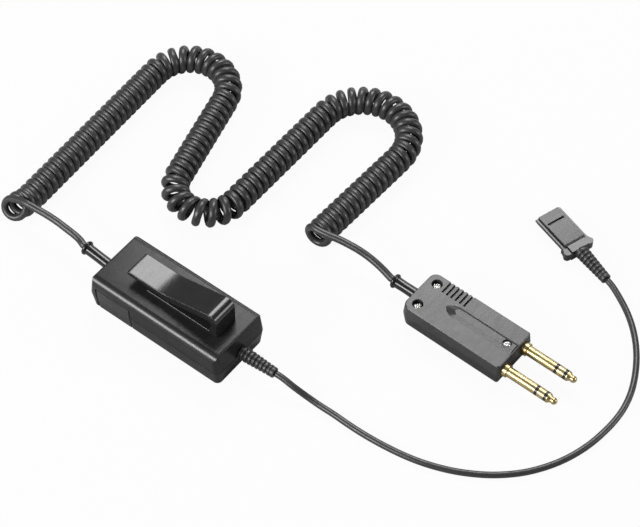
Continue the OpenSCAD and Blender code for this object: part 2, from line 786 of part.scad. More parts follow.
module plug_upper_shell() color([0.42, 0.42, 0.42]) place_plug() {
    difference() {
        union() {
            difference() {
                hull() {
                    plug_slab(split_z, 0);
                    plug_slab(plug_h - plug_edge - eps, plug_top_draft);
                    plug_slab(plug_h - eps, plug_top_draft + plug_edge);
                }
                plug_cavity();
            }
            at_plug_screws() translate([0, 0, split_z])
                cylinder(d = plug_post_d, h = recess_floor - split_z + cut);
            keel();
        }
        at_plug_screws() translate([0, 0, split_z - cut])
            cylinder(d = plug_screw_d + 2 * head_gap, h = plug_h);
        at_cord_end_screws() translate([0, 0, recess_floor]) cylinder(d = plug_recess_d, h = plug_h);
        translate([end_screw_x, 0, recess_floor]) cylinder(d = end_recess_d, h = plug_h);
        grip_grooves();
        plug_bores();
    }
}

module plug_screws() color([0.75, 0.75, 0.77]) place_plug() {
    at_plug_screws() translate([0, 0, recess_floor])
        pan_screw(plug_head_d, plug_head_h, plug_screw_d, recess_floor - plug_wall - 1);
}

module plug_cord_relief() color([0.07, 0.07, 0.08]) place_plug() {
    translate([-plug_l / 2, 0, split_z]) rotate(180) {
        relief_anchor(plug_wall);
        smooth_relief(plug_relief_l);
    }
}

// A prong is a stack of contacts on one axis: the sleeve outside, then the ring, and
// the tip on the core. Each runs back inside the one before, so that all can be wired.
sleeve_end = collar_l + sleeve_l;
ring_start = sleeve_end + insulator_l;
ring_end = ring_start + ring_l;
tip_start = ring_end + insulator_l;
stem_wall = 0.35;
core_d = 1.5;
ring_bore = core_d + 2 * stem_wall;
ring_stem_d = ring_bore + 2 * stem_wall;
sleeve_bore = ring_stem_d + 2 * stem_wall;
tail = 2;                                // each stem reaches this much further back
sleeve_back = tang_x - 3;
sleeve_tail_d = 4.6;                     // the sleeve is thinner inside the shells
tip_land = 0.5;                          // straight stretch at the tip's root

module prong_sleeves() color([0.83, 0.67, 0.35]) place_plug() at_prongs() {
    difference() {
        union() {
            rod_x(collar_d, tang_x - 1, collar_l);
            rod_x(tang_d, tang_x, tang_x + tang_l);
            rod_x(sleeve_tail_d, sleeve_back, tang_x);
            rod_x(prong_d, collar_l - eps, sleeve_end);
        }
        rod_x(sleeve_bore, sleeve_back - cut, sleeve_end + cut);
    }
}

module sleeve_insulators() color([0.06, 0.06, 0.06]) place_plug() at_prongs() {
    tube_x(prong_d, ring_stem_d, sleeve_end, ring_start);
    tube_x(sleeve_bore, ring_stem_d, sleeve_back - tail, sleeve_end + eps);
}

module prong_rings() color([0.83, 0.67, 0.35]) place_plug() at_prongs() {
    tube_x(prong_d, ring_bore, ring_start, ring_end);
    tube_x(ring_stem_d, ring_bore, sleeve_back - 2 * tail, ring_start + eps);
}

module ring_insulators() color([0.06, 0.06, 0.06]) place_plug() at_prongs() {
    tube_x(prong_d, core_d, ring_end, tip_start);
    tube_x(ring_bore, core_d, sleeve_back - 3 * tail, ring_end + eps);
}

// The tip narrows to a waist that the socket's spring snaps into, and ends in a ball.
module prong_tips() color([0.83, 0.67, 0.35]) place_plug() at_prongs() {
    waist_r = prong_d * 0.3;
    ball_r = prong_d * 0.34;
    rod_x(core_d, sleeve_back - 4 * tail, tip_start + eps);
    translate([tip_start, 0, 0]) rotate([0, 90, 0]) rotate_extrude() {
        polygon([[0, 0], [prong_d / 2, 0], [prong_d / 2, tip_land], [waist_r, tip_l * 0.4],
                 [waist_r, tip_l * 0.5], [0, tip_l * 0.5]]);
        intersection() {
            translate([0, tip_l - ball_r]) circle(ball_r);
            square([prong_d, tip_l]);
        }
    }
}

// ---------------------------------------------------------------- quick connector
quick_at = [131.6, 153.9];               // middle of its back face on the surface
quick_yaw = -18;
plate_t = 1.4;
quick_split = quick_h - plate_t;         // the top plate lies on the lower shell
quick_wall = 2.4;
quick_floor = 1.3;
belt_h = 1.1;                            // the widest band runs just under the plate
keel_in = 2;                             // the sides draw in below it, down to the underside
jaw_out = 1.6;                           // the lower jaw reaches past the top plate
jaw_top = 2.8;                           // and is this high there
plate_front = -quick_l + jaw_out;
plate_rear = -4.4;
mouth_l = 17;
mouth_w = quick_w - 2 * quick_wall;
mouth_h = quick_split - quick_floor;
block_l = 4;
block_face = -quick_l + mouth_l - block_l;
blade = [5, 0.8, 2.2];
blade_pitch = 2.2;
wing_z = 1;
quick_cord_z = rib_root_d / 2 + 0.2;
quick_neck_d = 4.2;
quick_neck_wall = 2.2;
quick_flange = [1.6, 8, quick_neck_d];   // a flat flange locks the relief in the shell
saddle_w = 10.6;                         // raised part that the relief's neck passes
saddle_top = quick_cord_z + quick_neck_d / 2 + 0.6;
quick_relief_drop = 2.5;
quick_relief_out = rib_root_d / 2 * tan(quick_relief_drop);    // clears the shell's back face

module place_quick() { translate([quick_at[0], quick_at[1], 0]) rotate(quick_yaw) children(); }

module quick_slab(w, z) { translate([-quick_l, -w / 2, z]) cube([quick_l, w, eps]); }

// Plan of the wings at the back end. A round notch in front of each wing gives it its
// curved shoulder.
module wing_plan() {
    wing_r = wing_out * 1.4;
    wing_l = 6;
    notch_r = 6;
    wing_y = quick_w / 2 + wing_out;
    for (s = [-1, 1]) {
        translate([-wing_r, s * (wing_y - wing_r)]) circle(wing_r);
        difference() {
            translate([-wing_l, s > 0 ? 0 : -wing_y + 0.2]) square([wing_l - wing_r, wing_y - 0.2]);
            translate([-wing_l, s * (quick_w / 2 + notch_r)]) circle(notch_r - 0.01, $fn = 64);
        }
    }
    translate([-wing_r - 1, -wing_y + wing_r]) square([wing_r + 1, 2 * (wing_y - wing_r)]);
}

module quick_neck_room() {
    room_l = quick_flange[0] + 2 * fit_gap;
    room_w = quick_flange[1] + 2 * fit_gap;
    room_h = quick_flange[2] + 2 * fit_gap;
    translate([0, 0, quick_cord_z]) {
        rod_x(quick_neck_d + 2 * fit_gap, -quick_neck_wall - cut, cut);
        translate([-quick_neck_wall - room_l, -room_w / 2, -room_h / 2]) cube([room_l, room_w, room_h]);
    }
}

module quick_lower_shell() color([0.14, 0.14, 0.15]) place_quick() {
    jaw_bevel = 1.2;
    difference() {
        union() {
            hull() {
                quick_slab(quick_w - 2 * keel_in, 0);
                quick_slab(quick_w, quick_split - belt_h);
                quick_slab(quick_w, quick_split - eps);
            }
            translate([0, 0, wing_z]) linear_extrude(quick_split - wing_z) wing_plan();
            translate([plate_rear + fit_gap, -saddle_w / 2, wing_z])
                cube([-plate_rear - fit_gap, saddle_w, saddle_top - wing_z]);
        }
        translate([-quick_l - cut, -mouth_w / 2, quick_floor]) cube([mouth_l + cut, mouth_w, mouth_h + cut]);
        quick_neck_room();
        translate([-quick_l - cut, -quick_w / 2 - cut, jaw_top])
            cube([jaw_out + cut, quick_w + 2 * cut, quick_h]);
        translate([-quick_l, 0, 0]) rotate([0, 45, 0])
            cube([jaw_bevel, quick_w + 2 * cut, jaw_bevel], center = true);
    }
}

module quick_upper_shell() color([0.45, 0.45, 0.45]) place_quick() {
    rear_r = 1.2;
    latch = [0.9, plate_w - 2.2, plate_t + 2 * cut];
    latch_x = plate_front + 6;
    step_l = 7.6;
    step_depth = 0.3;
    difference() {
        along_y(plate_w) {
            translate([plate_front, quick_split]) square([plate_rear - plate_front, plate_t - rear_r]);
            translate([plate_front, quick_split]) square([plate_rear - rear_r - plate_front, plate_t]);
            intersection() {
                translate([plate_rear - rear_r, quick_h - rear_r]) circle(rear_r);
                translate([plate_rear - rear_r, quick_split]) square([rear_r, plate_t]);
            }
        }
        translate([latch_x, -latch[1] / 2, quick_split - cut]) cube(latch);
        translate([plate_front - cut, -plate_w / 2 - cut, quick_h - step_depth])
            cube([step_l + cut, plate_w + 2 * cut, step_depth + cut]);
    }
}

module quick_contact_block() color([0.1, 0.1, 0.1]) place_quick() {
    translate([block_face, -mouth_w / 2 + fit_gap, quick_floor + fit_gap])
        cube([block_l - fit_gap, mouth_w - 2 * fit_gap, mouth_h - 2 * fit_gap]);
}

module quick_contacts() color([0.83, 0.67, 0.35]) place_quick() {
    for (i = [0 : blade_n - 1])
        translate([block_face - blade[0], (i - (blade_n - 1) / 2) * blade_pitch - blade[1] / 2,
                   quick_floor + (mouth_h - blade[2]) / 2])
            cube(blade);
}

module quick_cord_relief() color([0.16, 0.16, 0.17]) place_quick() {
    translate([0, 0, quick_cord_z]) {
        rod_x(quick_neck_d, -quick_neck_wall - fit_gap - eps, eps);
        translate([-quick_neck_wall - fit_gap - quick_flange[0], -quick_flange[1] / 2, -quick_flange[2] / 2])
            cube(quick_flange);
        rotate([0, quick_relief_drop, 0]) translate([quick_relief_out, 0, 0]) ribs(quick_relief_l);
    }
}

// ---------------------------------------------------------------- curly cord
// The coil's axis lies level and follows straight runs and round bends. Each stretch
// is [length, turn to the left in degrees, number of curls].
coil_start = [-105, 3.5];
coil_heading = 93;
function run(l, curls) = [l, 0, curls];
function bend(r, angle, curls) = [r * abs(angle) * PI / 180, angle, curls];
coil_path = [run(109.8, 22), bend(21, -168.5, 11), run(56, 11), bend(17, 165, 8),
             run(74, 14), bend(24, -181.5, 14), run(61, 12)];
curl_rings = 8;
curl_sides = 6;
curl_r = (coil_d - coil_cord_d) / 2;     // from the coil's axis to the cord's middle
start_lean = 40;                         // the first curl leans back by this many degrees
start_turn = 8;                          // and turns by this many
final_lean = 14;                         // the last one leans by this many
curl_open = 0.8;                         // how much wider the loose end curls are
curl_slip = 1;                           // and how far they slip off along the coil

function dir2(a) = [cos(a), sin(a), 0];
// Pose [x, y, heading] after the first part t (0 to 1) of a stretch.
function along(pose, s, t) =
    s[1] == 0 ? [pose[0] + s[0] * t * cos(pose[2]), pose[1] + s[0] * t * sin(pose[2]), pose[2]]
    : let (r = s[0] * 180 / PI / s[1], a = pose[2] + s[1] * t)
      [pose[0] + r * (sin(a) - sin(pose[2])), pose[1] - r * (cos(a) - cos(pose[2])), a];
function pose_at(i) = i == 0 ? [coil_start[0], coil_start[1], coil_heading]
    : along(pose_at(i - 1), coil_path[i - 1], 1);
coil_poses = [for (i = [0 : len(coil_path)]) pose_at(i)];

// The curls at both ends hang loose: 1 at the very end, and 0 from the second curl on.
function ease(t) = let (x = min(1, max(0, t))) x * x * (3 - 2 * x);
loose_curls = 1.7;
easing_curls = 1.2;                      // the last part of them, over which they close up
function slack(i, u) =
    i == 0 ? ease((loose_curls - u) / easing_curls)
    : i == last_run ? ease((loose_curls - coil_path[i][2] + u) / easing_curls) : 0;

// Middle of the cord on stretch i at turn u, and the direction out from the coil's axis.
// Every curl rests on the surface, and a leaning one swings out round its top.
function curl_at(i, u) =
    let (s = coil_path[i], p = along(coil_poses[i], s, u / s[2]), a = 360 * u, k = slack(i, u),
         slip = k * (i == 0 ? -curl_slip : curl_slip), lean = k * (i == 0 ? -start_lean : final_lean),
         heading = p[2] + (i == 0 ? k * start_turn : 0), r = curl_r + curl_open * k, ahead = dir2(heading),
         out = cos(a) * (cos(lean) * [0, 0, 1] - sin(lean) * ahead) + sin(a) * dir2(heading + 90))
    [[p[0], p[1], coil_cord_d / 2 + r * cos(lean)] + (slip + r * sin(lean)) * ahead + r * out, out];

// Frame of the cord there: [middle, direction, outward].
function curl_frame(i, u) =
    let (f = curl_at(i, u), t = unit(curl_at(i, u + 0.01)[0] - curl_at(i, u - 0.01)[0]))
    [f[0], t, unit(f[1] - t * (t * f[1]))];
function frame_ring(f) = ring_points(f[0], f[2], cross(f[1], f[2]), coil_cord_d / 2, curl_sides);
function shifted(f, d) = [f[0] + d * f[1], f[1], f[2]];

last_run = len(coil_path) - 1;
coil_in = curl_frame(0, 0);
coil_out = curl_frame(last_run, coil_path[last_run][2]);
coil_frames = concat(
    [shifted(coil_in, -coil_cord_d)],
    [for (i = [0 : last_run], k = [0 : coil_path[i][2] * curl_rings - 1]) curl_frame(i, k / curl_rings)],
    [coil_out, shifted(coil_out, coil_cord_d)]);

// Least gap between a curl and the next, measured between ring middles.
function next_curl_gap(k) =
    min([for (j = [k + curl_rings - 3 : min(k + curl_rings + 3, len(coil_frames) - 1)])
        norm(coil_frames[k][0] - coil_frames[j][0])]) - coil_cord_d;
coil_gap = min([for (k = [0 : len(coil_frames) - curl_rings]) next_curl_gap(k)]);
echo(curls = (len(coil_frames) - 3) / curl_rings, least_gap_between_curls = coil_gap);

module curly_cord() color([0.13, 0.13, 0.14]) {
    polyhedron(points = [for (f = coil_frames) each frame_ring(f)],
               faces = tube_faces(len(coil_frames), curl_sides));
}

// ---------------------------------------------------------------- straight cords
// Each route starts and ends straight, in line with what the cord meets there.
function coil_end(f, way) = [for (d = [1, 2]) f[0] + way * d * coil_cord_d * f[1]];
function reversed(list) = [for (i = [len(list) - 1 : -1 : 0]) list[i]];

case_dir = [-cos(case_relief_rise) * cos(case_relief_yaw), cos(case_relief_rise) * sin(case_relief_yaw),
            sin(case_relief_rise)];
case_tip = [-case_l / 2, 0, cord_z] + case_relief_l * case_dir;
plug_dir = dir2(plug_yaw);
plug_tip = [plug_at[0], plug_at[1], split_z] - (plug_l / 2 + plug_relief_l) * plug_dir;
line_dir = [cos(line_relief_drop) * cos(line_relief_yaw), cos(line_relief_drop) * sin(line_relief_yaw),
            -sin(line_relief_drop)];
line_tip = [case_l / 2, 0, cord_z] + line_relief_l * line_dir;
quick_dir = [cos(quick_relief_drop) * cos(quick_yaw), cos(quick_relief_drop) * sin(quick_yaw),
             -sin(quick_relief_drop)];
quick_tip = [quick_at[0], quick_at[1], quick_cord_z] + (quick_relief_out + quick_relief_l) * quick_dir;

case_lead_route = concat(
    coil_end(coil_in, -1),
    [[-92.4, 3.5, 10.9], [-87.8, 3.9, 10.9], [-83, 4, 10.9], [-78, 3.8, 11], [-73, 3.3, 11.2],
     [-68, 2.4, 11.5]],
    [case_tip + 4 * case_dir, case_tip]);
plug_lead_route = concat(
    coil_end(coil_out, 1),
    [[38, 78.6, 12.8], [44, 79.2, 12.2], [50, 79.6, 11], [56, 79.6, 9.8], [62, 79.8, 8.4]],
    [plug_tip - 4 * plug_dir, plug_tip]);
line_route = concat(
    [line_tip, line_tip + 4 * line_dir],
    [[71, 1.4, 6.6], [78, 2.6, 3.4], [85, 3.2, 1.8], [93, 3.4, 1.6], [101, 3.2, 1.6], [109, 3.2, 1.6],
     [117, 3.6, 1.6], [125, 4.4, 1.6], [133, 5.6, 1.6], [141, 7.4, 1.6], [149, 10, 1.6],
     [156.6, 13.2, 1.6], [163.6, 17, 1.6], [170.4, 21.5, 1.6], [176.5, 26.6, 1.6],
     [182.1, 32.4, 1.6], [187, 39, 1.6], [191.3, 46.4, 1.6], [194.7, 54.4, 1.6], [197.3, 63.4, 1.6],
     [198.8, 72.7, 1.6], [199.4, 81.9, 1.6], [198.8, 90.9, 1.6], [196.7, 99.9, 1.6],
     [193, 109, 1.6], [187.9, 118.2, 1.6], [181.7, 126.6, 1.6], [174.5, 134, 1.6],
     [166.6, 140, 1.9]],
    [quick_tip + 4 * quick_dir, quick_tip]);

module case_lead() color([0.13, 0.13, 0.14]) { route_tube(case_lead_route, coil_cord_d, 8); }
module plug_lead() color([0.13, 0.13, 0.14]) { route_tube(plug_lead_route, coil_cord_d, 8); }
module line_cord() color([0.13, 0.13, 0.14]) { route_tube(line_route, line_cord_d, 8); }

case_bottom_cover();
case_top_cover();
access_door();
clip_base();
clip_arm();
clip_screws();
case_screws();
circuit_board();
transformer_core();
transformer_winding();
capacitors();
amplifier_chip();
wire_headers();
trimmer_bodies();
mic_gain_rotor();
ear_gain_rotor();
case_cord_relief();
line_cord_relief();
plug_lower_shell();
plug_upper_shell();
plug_screws();
prong_sleeves();
prong_rings();
prong_tips();
sleeve_insulators();
ring_insulators();
plug_cord_relief();
quick_lower_shell();
quick_upper_shell();
quick_contact_block();
quick_contacts();
quick_cord_relief();
case_lead();
curly_cord();
plug_lead();
line_cord();
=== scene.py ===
# Looks of the in-line headset amplifier lead: cords, strain reliefs, belt clip, plug screws,
# finishes, light and camera. Shapes are in millimetres; materials, lamps and camera in metres.
import bpy
import math
import numpy as np
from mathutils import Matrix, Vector


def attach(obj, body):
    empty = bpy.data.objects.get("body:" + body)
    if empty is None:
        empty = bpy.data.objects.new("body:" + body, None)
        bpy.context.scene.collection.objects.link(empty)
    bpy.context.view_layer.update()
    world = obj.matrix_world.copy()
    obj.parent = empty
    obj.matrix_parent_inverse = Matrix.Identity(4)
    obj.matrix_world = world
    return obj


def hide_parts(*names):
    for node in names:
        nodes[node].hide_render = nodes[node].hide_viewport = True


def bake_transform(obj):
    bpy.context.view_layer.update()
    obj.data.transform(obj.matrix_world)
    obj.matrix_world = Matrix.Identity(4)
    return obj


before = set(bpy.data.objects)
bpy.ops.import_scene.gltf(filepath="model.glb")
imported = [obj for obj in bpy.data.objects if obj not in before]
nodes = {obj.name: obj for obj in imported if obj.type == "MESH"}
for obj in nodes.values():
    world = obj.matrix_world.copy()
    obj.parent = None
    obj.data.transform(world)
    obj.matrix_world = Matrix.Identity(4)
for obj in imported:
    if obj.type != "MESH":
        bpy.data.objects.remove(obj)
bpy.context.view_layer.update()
scene = bpy.context.scene
MM = 0.001
AMP = "amplifier"


# ------------------------------------------------------------------ camera
AIM = Vector((0.0328, 0.07037, 0.0))
VIEW_FROM, CAMERA_AWAY = (38, 53), 1.066     # azimuth and elevation in degrees, and metres
SENSOR_W, LENS, NEAR, FAR = 36, 120.9, 0.05, 20


def direction(azimuth, elevation):
    a, e = math.radians(azimuth), math.radians(elevation)
    return Vector((math.sin(a) * math.cos(e), -math.cos(a) * math.cos(e), math.sin(e)))


camera = bpy.data.objects.new("camera", bpy.data.cameras.new("camera"))
scene.collection.objects.link(camera)
camera.location = AIM + direction(*VIEW_FROM) * CAMERA_AWAY
camera.rotation_mode = "QUATERNION"
camera.rotation_quaternion = (-direction(*VIEW_FROM)).to_track_quat("-Z", "Y")
camera.data.sensor_width = SENSOR_W
camera.data.lens = LENS
camera.data.clip_start, camera.data.clip_end = NEAR, FAR
scene.camera = camera


# ------------------------------------------------------------------ mesh helpers
def add_mesh(name, verts, faces, smooth=True):
    mesh = bpy.data.meshes.new(name)
    mesh.from_pydata([tuple(float(c) for c in v) for v in verts], [], faces)
    mesh.validate()
    if smooth:
        mesh.shade_smooth()
    obj = bpy.data.objects.new(name, mesh)
    scene.collection.objects.link(obj)
    return obj


def unit(v):
    v = np.asarray(v, float)
    return v / np.linalg.norm(v)


def square_to(v, tangent):
    """The unit part of v that stands square to the tangent."""
    return unit(v - tangent * np.dot(v, tangent))


def smooth_path(points, step):
    """A curve through the points, with points about step apart."""
    p = np.asarray(points, float)
    gaps = np.sqrt(np.linalg.norm(np.diff(p, axis=0), axis=1))
    knots = np.concatenate([[0], np.cumsum(gaps)])
    out = []
    for i in range(len(p) - 1):
        j = [max(i - 1, 0), i, i + 1, min(i + 2, len(p) - 1)]
        t0, t1, t2, t3 = knots[j]
        if j[0] == i:
            t0 = t1 - (t2 - t1)
        if j[3] == i + 1:
            t3 = t2 + (t2 - t1)
        a = p[j[0]] if j[0] != i else 2 * p[i] - p[i + 1]
        d = p[j[3]] if j[3] != i + 1 else 2 * p[i + 1] - p[i]
        b, c = p[i], p[i + 1]
        n = max(2, int(round(np.linalg.norm(c - b) / step)))
        for t in np.linspace(t1, t2, n, endpoint=False):
            a1 = (t1 - t) / (t1 - t0) * a + (t - t0) / (t1 - t0) * b
            a2 = (t2 - t) / (t2 - t1) * b + (t - t1) / (t2 - t1) * c
            a3 = (t3 - t) / (t3 - t2) * c + (t - t2) / (t3 - t2) * d
            b1 = (t2 - t) / (t2 - t0) * a1 + (t - t0) / (t2 - t0) * a2
            b2 = (t3 - t) / (t3 - t1) * a2 + (t - t1) / (t3 - t1) * a3
            out.append((t2 - t) / (t2 - t1) * b1 + (t - t1) / (t2 - t1) * b2)
    out.append(p[-1])
    return np.array(out)


def way_along(p):
    return np.linalg.norm(np.diff(p, axis=0), axis=1)


def circle(sides):
    return np.arange(sides) * 2 * math.pi / sides


def tube_faces(rings, sides):
    """Quads between rings of points, and both ends closed."""
    faces = []
    for i in range(rings - 1):
        near, far = i * sides, (i + 1) * sides
        for j in range(sides):
            k = (j + 1) % sides
            faces.append((near + j, near + k, far + k, far + j))
    faces.append(tuple(range(sides - 1, -1, -1)))
    faces.append(tuple(range((rings - 1) * sides, rings * sides)))
    return faces


THINNER, WIDER = 0.045, 0.13                 # how far a fully flattened section gives way


def sweep(name, path, radius, sides, outward=None, flat=None):
    """A closed tube along a path, with the way round and the way along as its UV.

    outward holds, for the stretch of the path that is wound, the direction out of the coil.
    flat holds how far the section is flattened there, from 0 to 1.
    """
    p = np.asarray(path, float)
    n = len(p)
    tangent = np.gradient(p, axis=0)
    tangent /= np.linalg.norm(tangent, axis=1)[:, None]
    along = np.concatenate([[0], np.cumsum(way_along(p))])
    frames = np.zeros((n, 3))
    if outward is None:
        frames[0] = unit(np.cross(tangent[0], [0, 0, 1]))
    else:
        known = [i for i in range(n) if outward[i] is not None]
        for i in known:
            frames[i] = square_to(outward[i], tangent[i])
        for i in range(known[0] - 1, -1, -1):
            frames[i] = square_to(frames[i + 1], tangent[i])
    for i in range(n):
        if not frames[i].any():
            frames[i] = square_to(frames[i - 1], tangent[i])
    verts = []
    for i in range(n):
        side, up = frames[i], np.cross(tangent[i], frames[i])
        press = 0 if flat is None else flat[i]
        thin, wide = radius * (1 - THINNER * press), radius * (1 + WIDER * press)
        verts += [p[i] + thin * side * math.cos(a) + wide * up * math.sin(a)
                  for a in circle(sides)]
    obj = add_mesh(name, verts, tube_faces(n, sides))
    uv = obj.data.uv_layers.new(name="UVMap").data
    for poly in obj.data.polygons:
        corners = [obj.data.loops[k].vertex_index for k in poly.loop_indices]
        columns = {c % sides for c in corners}
        wrap = len(corners) == 4 and 0 in columns and sides - 1 in columns
        for k, c in zip(poly.loop_indices, corners):
            j = c % sides
            uv[k].uv = ((sides if wrap and j == 0 else j) / sides, along[c // sides])
    return obj


# ------------------------------------------------------------------ the coil
def bend(radius, turn, curls):
    return radius * math.radians(abs(turn)), turn, curls


CORD_D, LINE_D = 3.8, 3.2
COIL_D = 15.0
CURL_R = (COIL_D - CORD_D) / 2
COIL_START = (-103.5, -3.1, 93)              # x, y and heading in degrees
# Each stretch of the coil's axis: its length, its turn in degrees and its number of curls.
STRETCHES = [(115.8, 0, 27), bend(21, -168.5, 11), (55.3, 0, 12), bend(17, 165.7, 8),
             (74.4, 0, 16), bend(24, -182.2, 14), (65.7, 0, 15)]
PER_TURN = 22                                # points on one curl
AXIS_STEP, EVEN_OUT = 0.1, 90                # the axis' step, and steps each way to even the pitch
SHORT_WAVE, LONG_WAVE = (0.018, 0.31, 0.4), (0.014, 0.117, 2.0)   # unevenness: size, rate, phase
END_STEPS, END_L = 50, 5                     # steps and length that give the pitch at an end

# The first curls lean back and are drawn towards the lead, and the final ones lean a little.
FIRST_LEAN, FIRST_TURN, FINAL_LEAN = 36, 2, 6                     # degrees
FIRST_UNTIL, FIRST_OVER = 3.3, 3.2           # in curls from the start
DRAWN_UNTIL, DRAWN_OVER = 2.6, 2.5
FINAL_FROM, FINAL_OVER = 1.7, 1.2            # in curls from the end
DRAWN_X, DRAWN_Y, TIGHTER = 3.2, 1.3, 0.1
LEAVES = 0.096                               # the turn at which the lead leaves the first curl


def wave(s, size, rate, phase):
    return size * np.sin(s * rate + phase)


def coil_axis():
    """Points, headings and turns along the coil's axis."""
    x, y, heading = COIL_START[0], COIL_START[1], math.radians(COIL_START[2])
    xs, ys, hs, density = [], [], [], []
    for length, turn, curls in STRETCHES:
        n = int(round(length / AXIS_STEP))
        for _ in range(n):
            d = math.radians(turn) / n
            xs.append(x), ys.append(y), hs.append(heading), density.append(curls / n)
            x += length / n * math.cos(heading + d / 2)
            y += length / n * math.sin(heading + d / 2)
            heading += d
    xs.append(x), ys.append(y), hs.append(heading)
    density = np.array(density)
    pads = np.full(EVEN_OUT, density[0]), np.full(EVEN_OUT, density[-1])
    wide = np.concatenate([pads[0], density, pads[1]])
    window = 2 * EVEN_OUT + 1
    soft = np.convolve(wide, np.ones(window) / window, "valid")
    s = np.arange(len(soft)) * AXIS_STEP
    soft *= 1 + wave(s, *SHORT_WAVE) + wave(s, *LONG_WAVE)
    turns = np.concatenate([[0], np.cumsum(soft)])
    total = sum(c for _, _, c in STRETCHES)
    return np.array(xs), np.array(ys), np.array(hs), turns * total / turns[-1], total


AX, AY, AH, AT, TURNS = coil_axis()


def ease(t):
    x = min(1.0, max(0.0, t))
    return x * x * (3 - 2 * x)


def curl_point(u):
    """The cord's middle at turn u of the coil, and the direction out of the coil there."""
    x, y, h = np.interp(u, AT, AX), np.interp(u, AT, AY), np.interp(u, AT, AH)
    if u < 0 or u > TURNS:
        if u < 0:
            edge, rate = 0, (AT[END_STEPS] - AT[0]) / END_L
        else:
            edge, rate = TURNS, (AT[-1] - AT[-1 - END_STEPS]) / END_L
        x, y = x + (u - edge) / rate * math.cos(h), y + (u - edge) / rate * math.sin(h)
    if u < TURNS / 2:
        k = ease((FIRST_UNTIL - u) / FIRST_OVER)
        drawn = ease((DRAWN_UNTIL - u) / DRAWN_OVER)
        lean = math.radians(k * -FIRST_LEAN)
        h += math.radians(FIRST_TURN) * k
    else:
        k = ease((FINAL_FROM - TURNS + u) / FINAL_OVER)
        drawn = 0
        lean = math.radians(k * FINAL_LEAN)
    r = CURL_R - TIGHTER * drawn
    x, y = x - DRAWN_X * drawn, y + DRAWN_Y * drawn
    a = 2 * math.pi * u
    ahead = np.array([math.cos(h), math.sin(h), 0])
    left = np.array([-math.sin(h), math.cos(h), 0])
    up = np.array([0, 0, 1.0])
    out = math.cos(a) * (math.cos(lean) * up - math.sin(lean) * ahead) + math.sin(a) * left
    return np.array([x, y, CORD_D / 2 + r * math.cos(lean)]) + r * out, out


# ------------------------------------------------------------------ cords
def polar(rise, yaw, sign=1):
    e, a = math.radians(rise), math.radians(yaw)
    return np.array([sign * math.cos(e) * math.cos(a), math.cos(e) * math.sin(a), math.sin(e)])


CASE_L, CASE_H, CORD_Z = 81.4, 21.3, 10.0
CASE_RELIEF_L, PLUG_RELIEF_L, LINE_RELIEF_L, QUICK_RELIEF_L = 18.4, 14.4, 19.5, 20.5
PLUG_L, QUICK_SEAT = 58.9, 0.1615
case_dir, plug_dir = polar(5, 2, -1), polar(0, -1.4)
line_dir, quick_dir = polar(-4, 3), polar(-2.5, -18)
case_root = np.array([-CASE_L / 2, 0, CORD_Z])
case_tip = case_root + CASE_RELIEF_L * case_dir
plug_root = np.array([114.6, 79.3, 7.2]) - PLUG_L / 2 * plug_dir
plug_tip = plug_root - PLUG_RELIEF_L * plug_dir
line_root = np.array([CASE_L / 2, 0, CORD_Z])
line_tip = line_root + LINE_RELIEF_L * line_dir
quick_root = np.array([131.6, 153.9, 3.9]) + QUICK_SEAT * quick_dir
quick_tip = quick_root + QUICK_RELIEF_L * quick_dir

coil_in, coil_out = curl_point(LEAVES)[0], curl_point(TURNS)[0]
case_lead = [case_tip, case_tip + 1.5 * case_dir,
             [-63.4, 1.8, 11.6], [-66.6, 2.5, 11.6], [-73.9, 3.1, 11.8], [-80.7, 3.4, 12.1],
             [-87.3, 3.3, 12.3], [-93.1, 2.7, 12.8], [-95.7, 2.3, 13.3], [-98.8, 1.8, 13.6],
             [-103.0, 1.8, 12.6], coil_in]
plug_lead = [coil_out, [27.4, 78.4, 13.1], [31.0, 78.9, 13.1], [36.2, 80.0, 12.9],
             [40.4, 80.7, 12.6], [47.5, 81.6, 11.8], [53.3, 82.0, 10.7], [59.6, 81.8, 9.4],
             [64.7, 81.2, 8.2], plug_tip - 1.5 * plug_dir, plug_tip]
ON_FLOOR = [(93, 3.4), (101, 3.2), (109, 3.2), (117, 3.6), (125, 4.4), (133, 5.6), (141, 7.4),
            (149, 10), (156.6, 13.2), (163.6, 17), (170.4, 21.5), (176.5, 26.6), (182.1, 32.4),
            (187, 39), (191.3, 46.4), (194.7, 54.4), (197.3, 63.4), (198.8, 72.7), (199.4, 81.9),
            (198.8, 90.9), (196.7, 99.9), (193, 109), (187.9, 118.2), (181.7, 126.6), (174.5, 134)]
line_route = [line_tip, line_tip + 4 * line_dir, [71, 1.4, 6.6], [78, 2.6, 3.4], [85, 3.2, 1.8]]
line_route += [[x, y, LINE_D / 2] for x, y in ON_FLOOR]
line_route += [[166.6, 140, 1.9], quick_tip + 4 * quick_dir, quick_tip]

LEAD_STEP, LINE_STEP, CORD_SIDES = 1.3, 1.6, 16
ROUND_OFF = 0.6 * PER_TURN                   # points over which the section flattens
curls = [curl_point(i / PER_TURN)
         for i in range(int(LEAVES * PER_TURN) + 1, int(TURNS * PER_TURN))]
lead_in, lead_out = smooth_path(case_lead, LEAD_STEP), smooth_path(plug_lead, LEAD_STEP)
main_path = np.vstack([lead_in, np.array([at for at, _ in curls]), lead_out]) * MM
outward = [None] * len(lead_in) + [out for _, out in curls] + [None] * len(lead_out)
flat = [ease((i - len(lead_in)) / ROUND_OFF) * ease((len(lead_in) + len(curls) - i) / ROUND_OFF)
        for i in range(len(main_path))]
line_path = smooth_path(line_route, LINE_STEP) * MM

main_cord = sweep("amplifier_cord", main_path, CORD_D / 2 * MM, CORD_SIDES, outward, flat)
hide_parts("case_lead", "curly_cord", "plug_lead")
line_cord = sweep("headset_cord", line_path, LINE_D / 2 * MM, CORD_SIDES)
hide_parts("line_cord")

for cord in (main_cord, line_cord):
    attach(cord, AMP)


